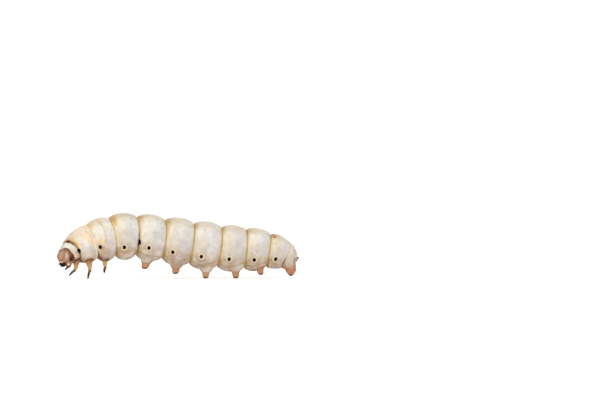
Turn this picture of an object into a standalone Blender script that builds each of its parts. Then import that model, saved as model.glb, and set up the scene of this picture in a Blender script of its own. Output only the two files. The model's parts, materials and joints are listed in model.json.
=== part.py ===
"""Life-size silkworm larva, standing with its head turned to its left and some legs lifted.

The larva walks towards -X, its left is -Y and +Z is up. The soles of the standing feet lie at
z = 0, and the origin ends up under the middle of the whole animal. Sizes and places below are in
millimetres and angles in degrees. A cross-section's angle starts at the back and turns to the
left flank.
"""

import math

import bmesh
import bpy
from mathutils import Vector

MM = 0.001
GAP = 0.25              # clear space between neighbouring pieces of the body
FINE_GAP = 0.10         # the same between the small parts of the head
TRUNK_SIDES = 32
TRUNK_STEPS = 8         # lengths of mesh along one segment
LIMB_SIDES = 12
PILLOW = 2.5            # how square a segment swells between its two furrows

# Furrows from the neck to the tail, each the waist between two segments. A positive pitch looks
# down towards the head, and a positive yaw turns to the left. A ring with no "low" is as deep
# below its centre as it is high above it.
FURROWS = [
    {"centre": (-12.01, -2.60, 2.33), "high": 0.95, "low": 0.70, "wide": 0.95, "pitch": 27,
     "yaw": 59},
    {"centre": (-11.36, -1.90, 2.83), "high": 1.27, "low": 1.10, "wide": 1.27, "pitch": 29,
     "yaw": 45},
    {"centre": (-9.10, -0.66, 3.91), "high": 1.88, "wide": 1.86, "pitch": 17, "yaw": 10},
    {"centre": (-7.00, -0.37, 4.38), "high": 2.03, "wide": 2.00, "pitch": 10, "yaw": 9},
    {"centre": (-4.40, -0.15, 4.49), "high": 2.00, "wide": 2.00, "pitch": -2, "yaw": 7},
    {"centre": (-1.54, -0.02, 4.12), "high": 2.04, "wide": 2.02, "pitch": -5, "yaw": 5.5},
    {"centre": (1.40, 0.00, 3.64), "high": 2.13, "wide": 2.08, "pitch": -8, "yaw": 3.5},
    {"centre": (4.35, 0.00, 3.29), "high": 2.10, "wide": 2.06, "pitch": -7, "yaw": 3.5},
    {"centre": (7.09, 0.00, 3.07), "high": 2.07, "wide": 2.02, "pitch": -4, "yaw": 2},
    {"centre": (9.55, 0.00, 2.93), "high": 1.76, "wide": 1.74, "pitch": -8, "yaw": 1},
    {"centre": (11.38, 0.00, 2.29), "high": 1.37, "wide": 1.36, "pitch": -23, "yaw": 0},
]

# How far each segment swells past its furrows at the back, the flanks and the belly.
SEGMENTS = [
    {"name": "prothorax", "back": 0.04, "flank": 0.04, "belly": 0.12},
    {"name": "mesothorax", "back": 0.20, "flank": 0.06, "belly": 0.44},
    {"name": "metathorax", "back": 0.28, "flank": 0.24, "belly": 0.48},
    {"name": "abdomen_1", "back": 0.39, "flank": 0.36, "belly": 0.60},
    {"name": "abdomen_2", "back": 0.40, "flank": 0.36, "belly": 0.52},
    {"name": "abdomen_3", "back": 0.42, "flank": 0.36, "belly": 0.50},
    {"name": "abdomen_4", "back": 0.42, "flank": 0.36, "belly": 0.50},
    {"name": "abdomen_5", "back": 0.34, "flank": 0.34, "belly": 0.45},
    {"name": "abdomen_6", "back": 0.33, "flank": 0.30, "belly": 0.42},
    {"name": "abdomen_7", "back": 0.22, "flank": 0.24, "belly": 0.27},
]
TAIL = {"name": "anal_segment", "length": 1.22, "pitch": -30, "roundness": 2.6}

# Breathing holes on both flanks: segment, share of its length from the front, angle round it.
SPIRACLE = {"high": 0.23, "wide": 0.18, "rise": 0.07, "sunk": 0.15}
SPIRACLE_PLACES = {
    0: (0.84, 81),
    2: (0.16, 108),
    3: (0.39, 117),
    4: (0.46, 116),
    5: (0.39, 118),
    6: (0.37, 117.5),
    7: (0.37, 117.5),
    8: (0.35, 117.5),
    9: (0.47, 113),
}

HEAD = {"centre": (-12.10, -3.10, 2.32), "pitch": 15, "yaw": 69}
CAPSULE = {"deep": 0.82, "wide": 0.85, "high": 0.88, "groove": 0.06, "groove_wide": 0.10}
# Lobes of the head: place and half sizes, both forward, left and up from the head's centre.
CLYPEUS = {"at": (0.56, 0.0, -0.26), "half": (0.26, 0.32, 0.32)}
LABRUM = {"at": (0.66, 0.0, -0.50), "half": (0.15, 0.27, 0.13)}
MANDIBLE = {"at": (0.54, 0.17, -0.73), "half": (0.18, 0.16, 0.20)}
LABIUM = {"at": (0.14, 0.0, -0.88), "half": (0.18, 0.24, 0.18)}
PALP = {"at": (0.18, 0.27, -0.91), "half": (0.12, 0.11, 0.17)}
SPINNERET = {"at": (0.20, 0.0, -1.02), "half": (0.08, 0.08, 0.14)}
ANTENNA = [((0.45, 0.40, -0.60), 0.17), ((0.70, 0.52, -0.74), 0.15), ((0.86, 0.64, -0.66), 0.12),
           ((1.00, 0.74, -0.52), 0.05)]
STEMMATA = {"radius": 0.07, "ring": 0.17, "polar": 72, "around": 106, "count": 6}

# True legs: root inside the body, knee, ankle where the claw starts, and tip.
LEG_RADII = {"root": 0.42, "knee": 0.24, "ankle": 0.18, "claw": 0.14, "tip": 0.06}
LEGS = [
    {"name": "leg_1_left", "root": (-10.92, -2.15, 2.30), "knee": (-11.02, -2.50, 1.15),
     "ankle": (-11.17, -2.62, 0.86), "tip": (-11.72, -2.85, 0.34), "stands": False},
    {"name": "leg_1_right", "root": (-11.45, -1.60, 2.20), "knee": (-11.46, -1.84, 1.55),
     "ankle": (-11.55, -1.90, 1.35), "tip": (-12.02, -2.12, 0.92), "stands": False},
    {"name": "leg_2_left", "root": (-9.56, -1.30, 2.40), "knee": (-9.38, -1.60, 1.22),
     "ankle": (-9.38, -1.65, 0.86), "tip": (-9.57, -1.70, 0.0), "stands": True},
    {"name": "leg_2_right", "root": (-9.45, -0.55, 2.40), "knee": (-9.27, -0.40, 1.22),
     "ankle": (-9.27, -0.36, 0.86), "tip": (-9.46, -0.35, 0.0), "stands": True},
    {"name": "leg_3_left", "root": (-7.74, -0.80, 2.60), "knee": (-7.74, -1.02, 1.46),
     "ankle": (-7.74, -1.06, 1.15), "tip": (-7.86, -1.10, 0.59), "stands": False},
    {"name": "leg_3_right", "root": (-7.66, -0.10, 2.60), "knee": (-7.64, 0.08, 1.46),
     "ankle": (-7.64, 0.10, 1.15), "tip": (-7.75, 0.12, 0.59), "stands": False},
]

# Prolegs: place of the sole, then radii at heights above it, along and across the body.
PROLEG_SPREAD = 1.05
PROLEG_LEAN = 0.12      # how far the root lies nearer the midline than the sole
PROLEG_BACK = 0.16      # how far the right feet stand behind the left ones
PROLEG_FORM = [(0.00, 0.20), (0.07, 0.30), (0.36, 0.42), (0.62, 0.55), (0.82, 0.76),
               (1.08, 0.97), (1.50, 1.08)]
PROLEG_FLATNESS = 0.74
PROLEGS = [
    {"name": "proleg_1", "x": -3.56, "sole": 1.00, "root_shift": 0.40},
    {"name": "proleg_2", "x": -0.33, "sole": 0.46, "root_shift": 0.18},
    {"name": "proleg_3", "x": 2.84, "sole": 0.00, "root_shift": 0.12},
    {"name": "proleg_4", "x": 6.03, "sole": 0.00, "root_shift": -0.04},
    {"name": "proleg_5", "x": 8.69, "sole": 0.34, "root_shift": -0.12},
]
ANAL_PROLEG = {"name": "anal_proleg", "x": 11.86, "sole": 0.21, "root_shift": 0.0}
ANAL_SPREAD = 0.62
ANAL_FORM = [(0.00, 0.18), (0.06, 0.27), (0.38, 0.46), (0.62, 0.64), (1.00, 0.72), (1.45, 0.72)]

HORN = {"root": (12.10, 0.0, 2.10), "tip": (12.70, 0.0, 2.20), "radius": 0.20}


def forward_of(pitch, yaw):
    """Unit vector towards the head for a ring with that pitch and yaw."""
    p = math.radians(pitch)
    y = math.radians(yaw)
    return Vector((-math.cos(p) * math.cos(y), -math.cos(p) * math.sin(y), -math.sin(p)))


def left_and_up(forward):
    left = Vector((0, 0, 1)).cross(forward).normalized()
    return left, forward.cross(left)


def blend(a, b, share):
    return a + (b - a) * share


def angles(sides):
    return [360 * k / sides for k in range(sides)]


# Trunk


def spine(index, share):
    """Centre and forward direction at a share of the way from one furrow to the next."""
    front = FURROWS[index]
    rear = FURROWS[index + 1]
    a = Vector(front["centre"])
    b = Vector(rear["centre"])
    length = (b - a).length
    run_a = -forward_of(front["pitch"], front["yaw"]) * length
    run_b = -forward_of(rear["pitch"], rear["yaw"]) * length
    s = share
    centre = (
        a * (2 * s**3 - 3 * s**2 + 1)
        + run_a * (s**3 - 2 * s**2 + s)
        + b * (3 * s**2 - 2 * s**3)
        + run_b * (s**3 - s**2)
    )
    slope = (
        a * (6 * s**2 - 6 * s)
        + run_a * (3 * s**2 - 4 * s + 1)
        + b * (6 * s - 6 * s**2)
        + run_b * (3 * s**2 - 2 * s)
    )
    return centre, -slope.normalized()


def section(centre, forward, high, low, wide, angle):
    left, up = left_and_up(forward)
    rise = math.cos(math.radians(angle))
    side = math.sin(math.radians(angle))
    return centre + up * rise * (high if rise > 0 else low) + left * side * wide


def trunk_point(index, share, angle, swell=0.0):
    """Point of a segment's surface, moved outwards by swell."""
    front = FURROWS[index]
    rear = FURROWS[index + 1]
    form = SEGMENTS[index]
    pillow = 1 - abs(2 * share - 1) ** PILLOW
    high = blend(front["high"], rear["high"], share) + swell
    low = blend(front.get("low", front["high"]), rear.get("low", rear["high"]), share) + swell
    wide = blend(front["wide"], rear["wide"], share) + swell
    centre, forward = spine(index, share)
    return section(
        centre,
        forward,
        high + form["back"] * pillow,
        low + form["belly"] * pillow,
        wide + form["flank"] * pillow,
        angle,
    )


def tail_point(share, angle, swell=0.0):
    """Point of the round tail, whose tip is at share 1."""
    last = FURROWS[-1]
    start = forward_of(last["pitch"], last["yaw"])
    forward = start.lerp(forward_of(TAIL["pitch"], last["yaw"]), share).normalized()
    centre = Vector(last["centre"]) - forward * (TAIL["length"] + swell) * share
    size = (1 - share ** TAIL["roundness"]) ** 0.5
    high = (last["high"] + swell) * size
    return section(centre, forward, high, high, (last["wide"] + swell) * size, angle)


def ring(index, share, swell=0.0):
    return [trunk_point(index, share, angle, swell) for angle in angles(TRUNK_SIDES)]


def tail_rings(inset, swell=0.0):
    rings = []
    for step in range(TRUNK_STEPS):
        share = blend(inset, 1, math.sin(math.pi / 2 * step / TRUNK_STEPS))
        rings.append([tail_point(share, angle, swell) for angle in angles(TRUNK_SIDES)])
    return rings + [[tail_point(1, 0, swell)]]


def segment_length(index):
    return (Vector(FURROWS[index + 1]["centre"]) - Vector(FURROWS[index]["centre"])).length


# Meshes


def material(name, colour, roughness):
    made = bpy.data.materials.new(name)
    made.use_nodes = True
    shader = made.node_tree.nodes["Principled BSDF"]
    shader.inputs["Base Color"].default_value = (*colour, 1)
    shader.inputs["Roughness"].default_value = roughness
    shader.inputs["Metallic"].default_value = 0.0
    return made


def loft(name, rings, finish):
    """Closed body through rings of points. A ring of one point closes to a tip."""
    shape = bmesh.new()
    loops = [[shape.verts.new(point * MM) for point in points] for points in rings]
    for loop, after in zip(loops, loops[1:]):
        sides = max(len(loop), len(after))
        for k in range(sides):
            n = (k + 1) % sides
            corners = [loop[k], loop[n]] if len(loop) > 1 else [loop[0]]
            corners += [after[n], after[k]] if len(after) > 1 else [after[0]]
            shape.faces.new(corners)
    for loop in (loops[0], loops[-1]):
        if len(loop) > 1:
            shape.faces.new(loop)
    bmesh.ops.recalc_face_normals(shape, faces=shape.faces)
    mesh = bpy.data.meshes.new(name)
    shape.to_mesh(mesh)
    shape.free()
    mesh.shade_smooth()
    mesh.materials.append(finish)
    made = bpy.data.objects.new(name, mesh)
    bpy.context.scene.collection.objects.link(made)
    return made


def keep_largest(body):
    """Drop every closed surface of a body but its largest."""
    shape = bmesh.new()
    shape.from_mesh(body.data)
    left_over = set(shape.faces)
    parts = []
    while left_over:
        seed = left_over.pop()
        part = {seed}
        front = [seed]
        while front:
            for edge in front.pop().edges:
                for face in edge.link_faces:
                    if face in left_over:
                        left_over.discard(face)
                        part.add(face)
                        front.append(face)
        parts.append(part)
    parts.sort(key=lambda part: sum(face.calc_area() for face in part))
    for part in parts[:-1]:
        bmesh.ops.delete(shape, geom=list(part), context="FACES")
    shape.to_mesh(body.data)
    shape.free()


def combine(body, others, operation):
    """Join the others to a body, or cut them out of it, and remove them where they join."""
    holder = bpy.data.collections.new(body.name + "_" + operation.lower())
    for other in others:
        holder.objects.link(other)
    step = body.modifiers.new(operation.lower(), "BOOLEAN")
    step.operation = operation
    step.operand_type = "COLLECTION"
    step.collection = holder
    step.solver = "EXACT"
    view = bpy.context.evaluated_depsgraph_get()
    mesh = bpy.data.meshes.new_from_object(body.evaluated_get(view))
    body.modifiers.clear()
    body.data = mesh
    body.data.shade_smooth()
    bpy.data.collections.remove(holder)
    if operation == "UNION":
        for other in others:
            bpy.data.objects.remove(other)
    keep_largest(body)


def hide_cutter(cutter):
    cutter.hide_render = True
    cutter.display_type = "WIRE"


# Limbs


def smooth_stops(stops, steps):
    """Catmull-Rom path through (point, radius) stops."""
    ends = [stops[0]] + stops + [stops[-1]]
    path = []
    for before, start, end, after in zip(ends, ends[1:], ends[2:], ends[3:]):
        for step in range(steps):
            s = step / steps
            weights = (
                (-s + 2 * s**2 - s**3) / 2,
                (2 - 5 * s**2 + 3 * s**3) / 2,
                (s + 4 * s**2 - 3 * s**3) / 2,
                (-(s**2) + s**3) / 2,
            )
            four = (before, start, end, after)
            point = sum((Vector(f[0]) * w for f, w in zip(four, weights)), Vector())
            radius = sum(f[1] * w for f, w in zip(four, weights))
            path.append((point, radius))
    return path + [(Vector(stops[-1][0]), stops[-1][1])]


def limb(name, stops, finish, steps=3, flatness=1.0, level=False):
    """Round limb through its stops, flatness times as wide across the body as along it."""
    path = smooth_stops(stops, steps)
    rings = []
    for k, (point, radius) in enumerate(path):
        ahead = path[min(k + 1, len(path) - 1)][0] - path[max(k - 1, 0)][0]
        if level and k > len(path) - 3:
            ahead = Vector((0, 0, -1))
        across = ahead.cross(Vector((1, 0, 0))).normalized()
        along = across.cross(ahead).normalized()
        rings.append([
            point
            + along * radius * math.cos(math.radians(angle))
            + across * radius * flatness * math.sin(math.radians(angle))
            for angle in angles(LIMB_SIDES)
        ])
    return loft(name, rings, finish)


def true_leg(leg, finish):
    root, knee, ankle, tip = (Vector(leg[key]) for key in ("root", "knee", "ankle", "tip"))
    stops = [
        (root, LEG_RADII["root"]),
        (root.lerp(knee, 0.5), blend(LEG_RADII["root"], LEG_RADII["knee"], 0.35)),
        (knee, LEG_RADII["knee"]),
        (ankle, LEG_RADII["ankle"]),
        (ankle.lerp(tip, 0.45), LEG_RADII["claw"]),
        (tip, LEG_RADII["tip"]),
    ]
    return limb(leg["name"], stops, finish, level=leg["stands"])


def proleg(foot, side, form, spread, lean, finish):
    """Fleshy leg from a wide root down to its small sole; side is -1 on the left."""
    top = form[-1][0]
    stops = []
    for height, radius in reversed(form):
        share = height / top
        along = foot["x"] + foot["root_shift"] * share + (PROLEG_BACK if side > 0 else 0)
        place = (along, side * (spread - lean * share), foot["sole"] + height)
        stops.append((place, radius))
    name = foot["name"] + ("_left" if side < 0 else "_right")
    return limb(name, stops, finish, steps=2, flatness=PROLEG_FLATNESS, level=True)


# Head


def in_head(place):
    """World place of a point given forward, left and up from the head's centre."""
    forward = forward_of(HEAD["pitch"], HEAD["yaw"])
    left, up = left_and_up(forward)
    return Vector(HEAD["centre"]) + forward * place[0] + left * place[1] + up * place[2]


def capsule_point(polar, around, swell=0.0):
    """Point of the head capsule, polar degrees from the face and round it from the crown."""
    p = math.radians(polar)
    a = math.radians(around)
    side = math.sin(p) * math.sin(a)
    rise = math.sin(p) * math.cos(a)
    seam = math.exp(-((side / CAPSULE["groove_wide"]) ** 2)) * max(0.0, rise)
    shrink = 1 - CAPSULE["groove"] * seam
    return in_head((
        (CAPSULE["deep"] + swell) * math.cos(p) * shrink,
        (CAPSULE["wide"] + swell) * side * shrink,
        (CAPSULE["high"] + swell) * rise * shrink,
    ))


def capsule(swell, finish):
    rings = [[capsule_point(0, 0, swell)]]
    for polar in range(12, 180, 12):
        rings.append([capsule_point(polar, around, swell) for around in angles(32)])
    rings.append([capsule_point(180, 0, swell)])
    return loft("head", rings, finish)


def lobe(name, form, finish, side=1, swell=0.0, sides=12, bands=8):
    """Egg-shaped lobe of the head; side -1 puts it on the right."""
    at = form["at"]
    rings = []
    for band in range(bands + 1):
        polar = math.pi * band / bands
        size = math.sin(polar)
        count = [0] if band in (0, bands) else angles(sides)
        rings.append([
            in_head((
                at[0] + (form["half"][0] + swell) * size * math.cos(math.radians(around)),
                side * at[1] + (form["half"][1] + swell) * size * math.sin(math.radians(around)),
                at[2] + (form["half"][2] + swell) * math.cos(polar),
            ))
            for around in count
        ])
    return loft(name, rings, finish)


def head_solid(swell, finish):
    body = capsule(swell, finish)
    lobes = [lobe("clypeus", CLYPEUS, finish, swell=swell),
             lobe("labrum", LABRUM, finish, swell=swell)]
    combine(body, lobes, "UNION")
    return body


def stemmata(finish):
    """The simple eyes: a ring of small domes low on each side of the head."""
    domes = []
    for side in (1, -1):
        for k in range(STEMMATA["count"]):
            turn = math.radians(35 + 250 * k / (STEMMATA["count"] - 1))
            reach = math.degrees(STEMMATA["ring"] / CAPSULE["wide"])
            polar = STEMMATA["polar"] + reach * math.cos(turn)
            around = side * (STEMMATA["around"] + reach * math.sin(turn))
            centre = capsule_point(polar, around)
            out = (centre - Vector(HEAD["centre"])).normalized()
            domes.append(dome("stemma", centre, out, STEMMATA["radius"], finish))
    return domes


def dome(name, centre, out, radius, finish):
    """Small ball, half sunk in the surface it stands on."""
    side = out.orthogonal().normalized()
    other = out.cross(side)
    rings = [[centre - out * radius]]
    for polar in (60, 100, 145):
        size = math.sin(math.radians(polar)) * radius
        rings.append([
            centre
            - out * radius * math.cos(math.radians(polar))
            + side * size * math.cos(math.radians(around))
            + other * size * math.sin(math.radians(around))
            for around in angles(8)
        ])
    return loft(name, rings + [[centre + out * radius]], finish)


def spiracle(index, share, angle, finish):
    """Oval rim with a dimple, its root sunk in the flank."""
    centre = trunk_point(index, share, angle)
    upward = trunk_point(index, share, angle - 2) - trunk_point(index, share, angle + 2)
    upward.normalize()
    along = trunk_point(index, share + 0.02, angle) - trunk_point(index, share - 0.02, angle)
    out = along.cross(upward).normalized()
    if out.dot(centre - spine(index, share)[0]) < 0:
        out = -out
    along = upward.cross(out)
    rings = []
    for size, height in ((1.0, -SPIRACLE["sunk"]), (1.0, 0.02), (0.85, SPIRACLE["rise"]),
                         (0.6, SPIRACLE["rise"]), (0.4, 0.03)):
        rings.append([
            centre
            + out * height
            + upward * SPIRACLE["high"] * size * math.cos(math.radians(turn))
            + along * SPIRACLE["wide"] * size * math.sin(math.radians(turn))
            for turn in angles(10)
        ])
    return loft("spiracle", rings, finish)


# The whole animal


def build_trunk(skin):
    for index, form in enumerate(SEGMENTS):
        inset = GAP / 2 / segment_length(index)
        shares = [blend(inset, 1 - inset, step / TRUNK_STEPS) for step in range(TRUNK_STEPS + 1)]
        body = loft(form["name"], [ring(index, share) for share in shares], skin)
        if index in SPIRACLE_PLACES:
            share, angle = SPIRACLE_PLACES[index]
            holes = [spiracle(index, share, turn, skin) for turn in (angle, -angle)]
            combine(body, holes, "UNION")
    tail = loft(TAIL["name"], tail_rings(GAP / 2 / TAIL["length"]), skin)
    combine(tail, [build_horn(skin)], "UNION")


def trunk_clearance(finish):
    """The whole trunk made larger by the gap, to cut the roots of what grows from it."""
    rings = [ring(0, -GAP / 2 / segment_length(0), GAP)]
    for index in range(len(SEGMENTS)):
        steps = range(1 if index else 0, TRUNK_STEPS + 1)
        rings += [ring(index, step / TRUNK_STEPS, GAP) for step in steps]
    rings += tail_rings(0, GAP)[1:]
    return loft("trunk_clearance", rings, finish)


def build_head(trunk, chitin, dark, pale):
    body = head_solid(0, chitin)
    combine(body, stemmata(chitin), "UNION")
    combine(body, [trunk], "DIFFERENCE")
    clearance = head_solid(FINE_GAP, chitin)
    clearance.name = "head_clearance"
    hide_cutter(clearance)

    labium = lobe("labium", LABIUM, dark)
    mouth = [lobe("palp", PALP, dark, side, sides=8, bands=6) for side in (1, -1)]
    mouth.append(lobe("spinneret", SPINNERET, dark, sides=8, bands=6))
    combine(labium, mouth, "UNION")
    pieces = [labium]
    for side, word in ((1, "left"), (-1, "right")):
        pieces.append(lobe("mandible_" + word, MANDIBLE, dark, side))
        stops = [(in_head((at[0], side * at[1], at[2])), radius) for at, radius in ANTENNA]
        pieces.append(limb("antenna_" + word, stops, pale, steps=2))
    for piece in pieces:
        combine(piece, [clearance], "DIFFERENCE")
    return clearance


def build_horn(finish):
    """The blunt brown horn at the end of the tail, sunk into it."""
    root = Vector(HORN["root"])
    tip = Vector(HORN["tip"])
    out = (tip - root).normalized()
    side = out.orthogonal().normalized()
    other = out.cross(side)
    rings = []
    for share, size in ((0, 1.1), (0.5, 1.0), (0.85, 0.7), (1.0, 0.3)):
        rings.append([
            root.lerp(tip, share)
            + side * HORN["radius"] * size * math.cos(math.radians(angle))
            + other * HORN["radius"] * size * math.sin(math.radians(angle))
            for angle in angles(10)
        ])
    return loft("caudal_horn", rings, finish)


def centre_origin():
    """Move every mesh so that the origin lies under the middle of the animal."""
    corners = [
        body.matrix_world @ vertex.co
        for body in bpy.data.objects
        if not body.hide_render
        for vertex in body.data.vertices
    ]
    low = Vector([min(c[axis] for c in corners) for axis in range(3)])
    high = Vector([max(c[axis] for c in corners) for axis in range(3)])
    shift = Vector((-(low.x + high.x) / 2, -(low.y + high.y) / 2, 0))
    for body in bpy.data.objects:
        for vertex in body.data.vertices:
            vertex.co += shift


def main():
    for old in list(bpy.data.objects):
        bpy.data.objects.remove(old)

    skin = material("ivory_skin", (0.74, 0.66, 0.56), 0.42)
    chitin = material("brown_capsule", (0.36, 0.20, 0.12), 0.35)
    dark = material("dark_mouthparts", (0.07, 0.03, 0.02), 0.30)
    amber = material("amber_leg", (0.58, 0.36, 0.18), 0.38)
    blush = material("blush_proleg", (0.50, 0.27, 0.15), 0.48)

    build_trunk(skin)
    trunk = trunk_clearance(skin)
    hide_cutter(trunk)
    head_space = build_head(trunk, chitin, dark, amber)

    limbs = [true_leg(leg, amber) for leg in LEGS]
    for side in (-1, 1):
        for foot in PROLEGS:
            limbs.append(proleg(foot, side, PROLEG_FORM, PROLEG_SPREAD, PROLEG_LEAN, blush))
        limbs.append(proleg(ANAL_PROLEG, side, ANAL_FORM, ANAL_SPREAD, 0.05, blush))
    for piece in limbs:
        combine(piece, [trunk], "DIFFERENCE")

    for cutter in (trunk, head_space):
        bpy.data.objects.remove(cutter)
    centre_origin()


main()
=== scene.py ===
import json
import math

import bmesh
import bpy
import numpy as np
from mathutils import Matrix, Vector, noise


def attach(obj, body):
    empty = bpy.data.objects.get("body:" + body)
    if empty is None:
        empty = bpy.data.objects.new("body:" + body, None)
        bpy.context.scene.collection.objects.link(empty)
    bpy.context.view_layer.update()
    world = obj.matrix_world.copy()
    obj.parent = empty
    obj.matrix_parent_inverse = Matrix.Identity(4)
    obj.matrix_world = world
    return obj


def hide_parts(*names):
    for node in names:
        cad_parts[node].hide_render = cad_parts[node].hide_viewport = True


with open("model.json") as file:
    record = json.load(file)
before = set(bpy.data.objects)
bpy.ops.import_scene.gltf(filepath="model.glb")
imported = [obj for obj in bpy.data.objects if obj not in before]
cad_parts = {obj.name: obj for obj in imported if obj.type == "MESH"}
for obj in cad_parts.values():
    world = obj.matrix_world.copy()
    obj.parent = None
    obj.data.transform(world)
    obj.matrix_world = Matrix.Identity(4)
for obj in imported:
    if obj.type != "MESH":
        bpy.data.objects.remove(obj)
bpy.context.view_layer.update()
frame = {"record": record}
mm = 0.001
farOff = 9.0                    # distance in mm that stands for nowhere near

# The larva walks towards -X and its left is -Y. Sizes are in millimetres, angles in degrees.

bodyPlan = {
    # furrows from neck to tail; low is the depth below the centre
    "furrows": [
        {"centre": (-12.01, -2.60, 2.33), "high": 0.95, "low": 0.70, "wide": 0.95, "pitch": 27, "yaw": 59},
        {"centre": (-11.36, -1.90, 2.83), "high": 1.27, "low": 1.10, "wide": 1.27, "pitch": 29, "yaw": 45},
        {"centre": (-9.10, -0.66, 3.91), "high": 1.88, "low": 1.88, "wide": 1.86, "pitch": 17, "yaw": 10},
        {"centre": (-7.00, -0.37, 4.38), "high": 2.03, "low": 2.03, "wide": 2.00, "pitch": 10, "yaw": 9},
        {"centre": (-4.40, -0.15, 4.49), "high": 2.00, "low": 2.00, "wide": 2.00, "pitch": -2, "yaw": 7},
        {"centre": (-1.54, -0.02, 4.12), "high": 2.04, "low": 2.04, "wide": 2.02, "pitch": -5, "yaw": 5.5},
        {"centre": (1.40, 0.00, 3.64), "high": 2.13, "low": 2.13, "wide": 2.08, "pitch": -8, "yaw": 3.5},
        {"centre": (4.35, 0.00, 3.29), "high": 2.10, "low": 2.10, "wide": 2.06, "pitch": -7, "yaw": 3.5},
        {"centre": (7.09, 0.00, 3.07), "high": 2.07, "low": 2.07, "wide": 2.02, "pitch": -4, "yaw": 2},
        {"centre": (9.55, 0.00, 2.93), "high": 1.76, "low": 1.76, "wide": 1.74, "pitch": -8, "yaw": 1},
        {"centre": (11.38, 0.00, 2.29), "high": 1.37, "low": 1.37, "wide": 1.36, "pitch": -23, "yaw": 0},
    ],
    # swell of each segment past its furrows: back, flank, belly
    "swell": [
        (0.04, 0.04, 0.12), (0.20, 0.06, 0.44), (0.28, 0.24, 0.48), (0.39, 0.36, 0.60),
        (0.40, 0.36, 0.52), (0.42, 0.36, 0.50), (0.42, 0.36, 0.50), (0.34, 0.34, 0.45),
        (0.33, 0.30, 0.42), (0.22, 0.24, 0.27),
    ],
    "nodes": [
        "prothorax", "mesothorax", "metathorax", "abdomen_1", "abdomen_2", "abdomen_3",
        "abdomen_4", "abdomen_5", "abdomen_6", "abdomen_7", "anal_segment",
    ],
    "pillow": 2.5,
    "tailLength": 1.22,
    "tailPitch": -30,
    "tailRoundness": 2.6,
    "soleMount": (6.03, -1.05, 0.0),     # where the record's mount lies in these measures
}

soleFound = frame["record"]["mounts"][0]["pos_m"]
shift = Vector(soleFound) / mm - Vector(bodyPlan["soleMount"])


def toWorld(points):
    return (np.asarray(points, dtype=float) + np.array(shift)) * mm


def ringAxes(pitch, yaw):
    p = math.radians(pitch)
    y = math.radians(yaw)
    forward = Vector((-math.cos(p) * math.cos(y), -math.cos(p) * math.sin(y), -math.sin(p)))
    left = Vector((0, 0, 1)).cross(forward).normalized()
    return forward, left, forward.cross(left)


def spineAt(index, u):
    a = bodyPlan["furrows"][index]
    b = bodyPlan["furrows"][index + 1]
    start = Vector(a["centre"])
    end = Vector(b["centre"])
    length = (end - start).length
    runA = -ringAxes(a["pitch"], a["yaw"])[0] * length
    runB = -ringAxes(b["pitch"], b["yaw"])[0] * length
    centre = (start * (2 * u**3 - 3 * u**2 + 1) + runA * (u**3 - 2 * u**2 + u)
              + end * (3 * u**2 - 2 * u**3) + runB * (u**3 - u**2))
    slope = (start * (6 * u**2 - 6 * u) + runA * (3 * u**2 - 4 * u + 1)
             + end * (6 * u - 6 * u**2) + runB * (3 * u**2 - 2 * u))
    return centre, -slope.normalized()


def mix(a, b, share):
    return a + (b - a) * share


def ease(low, high, value):
    t = np.clip((np.asarray(value, dtype=float) - low) / (high - low), 0, 1)
    return t * t * (3 - 2 * t)


def bump(distance, width):
    return np.exp(-((np.asarray(distance) / width) ** 2))


# Mesh helpers

def deselectAll():
    for piece in bpy.context.selected_objects:
        piece.select_set(False)


def closeMesh():
    # merges the active piece's doubles, turns its faces outwards and smooths it
    bpy.ops.object.mode_set(mode="EDIT")
    bpy.ops.mesh.select_all(action="SELECT")
    bpy.ops.mesh.remove_doubles(threshold=1e-7)
    bpy.ops.mesh.normals_make_consistent(inside=False)
    bpy.ops.object.mode_set(mode="OBJECT")
    bpy.ops.object.shade_smooth()


def writeMask(piece, title, values):
    layer = piece.data.attributes.new(title, "FLOAT", "POINT")
    layer.data.foreach_set("value", np.ascontiguousarray(values, dtype=np.float32).reshape(-1))


def wrapGrid(name, rings, masks):
    # a grid primitive bent round into a closed tube; a ring on one point closes an end
    rows, columns = rings.shape[:2]
    deselectAll()
    bpy.ops.mesh.primitive_grid_add(x_subdivisions=columns, y_subdivisions=rows - 1, size=1)
    piece = bpy.context.object
    piece.name = name
    piece.data.name = name
    piece.location = (0, 0, 0)
    closed = np.concatenate([rings, rings[:, :1]], axis=1)
    piece.data.vertices.foreach_set("co", toWorld(closed).reshape(-1))
    for title, values in masks.items():
        writeMask(piece, title, np.concatenate([values, values[:, :1]], axis=1))
    piece.data.update()
    closeMesh()
    return piece


def joinPieces(name, pieces):
    deselectAll()
    for piece in pieces:
        piece.select_set(True)
    bpy.context.view_layer.objects.active = pieces[0]
    if len(pieces) > 1:
        bpy.ops.object.join()
    whole = bpy.context.object
    whole.name = name
    whole.data.name = name
    return whole


def stampCopies(name, model, places):
    # copies of one modelled piece, each with its own mesh, put at their places and joined
    copies = []
    for place in places:
        copy = model.copy()
        copy.data = model.data.copy()
        copy.data.transform(place)
        bpy.context.scene.collection.objects.link(copy)
        copies.append(copy)
    bpy.data.objects.remove(model)
    return joinPieces(name, copies)


def frameOf(spot, x, y, z):
    # matrix that takes a piece modelled at the origin in mm to a spot, with its axes along x, y and z
    origin = Vector(toWorld(spot))
    columns = [Vector(axis) * mm for axis in (x, y, z)] + [origin]
    made = Matrix.Identity(4)
    for k, column in enumerate(columns):
        for row in range(3):
            made[row][k] = column[row]
    return made


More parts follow.
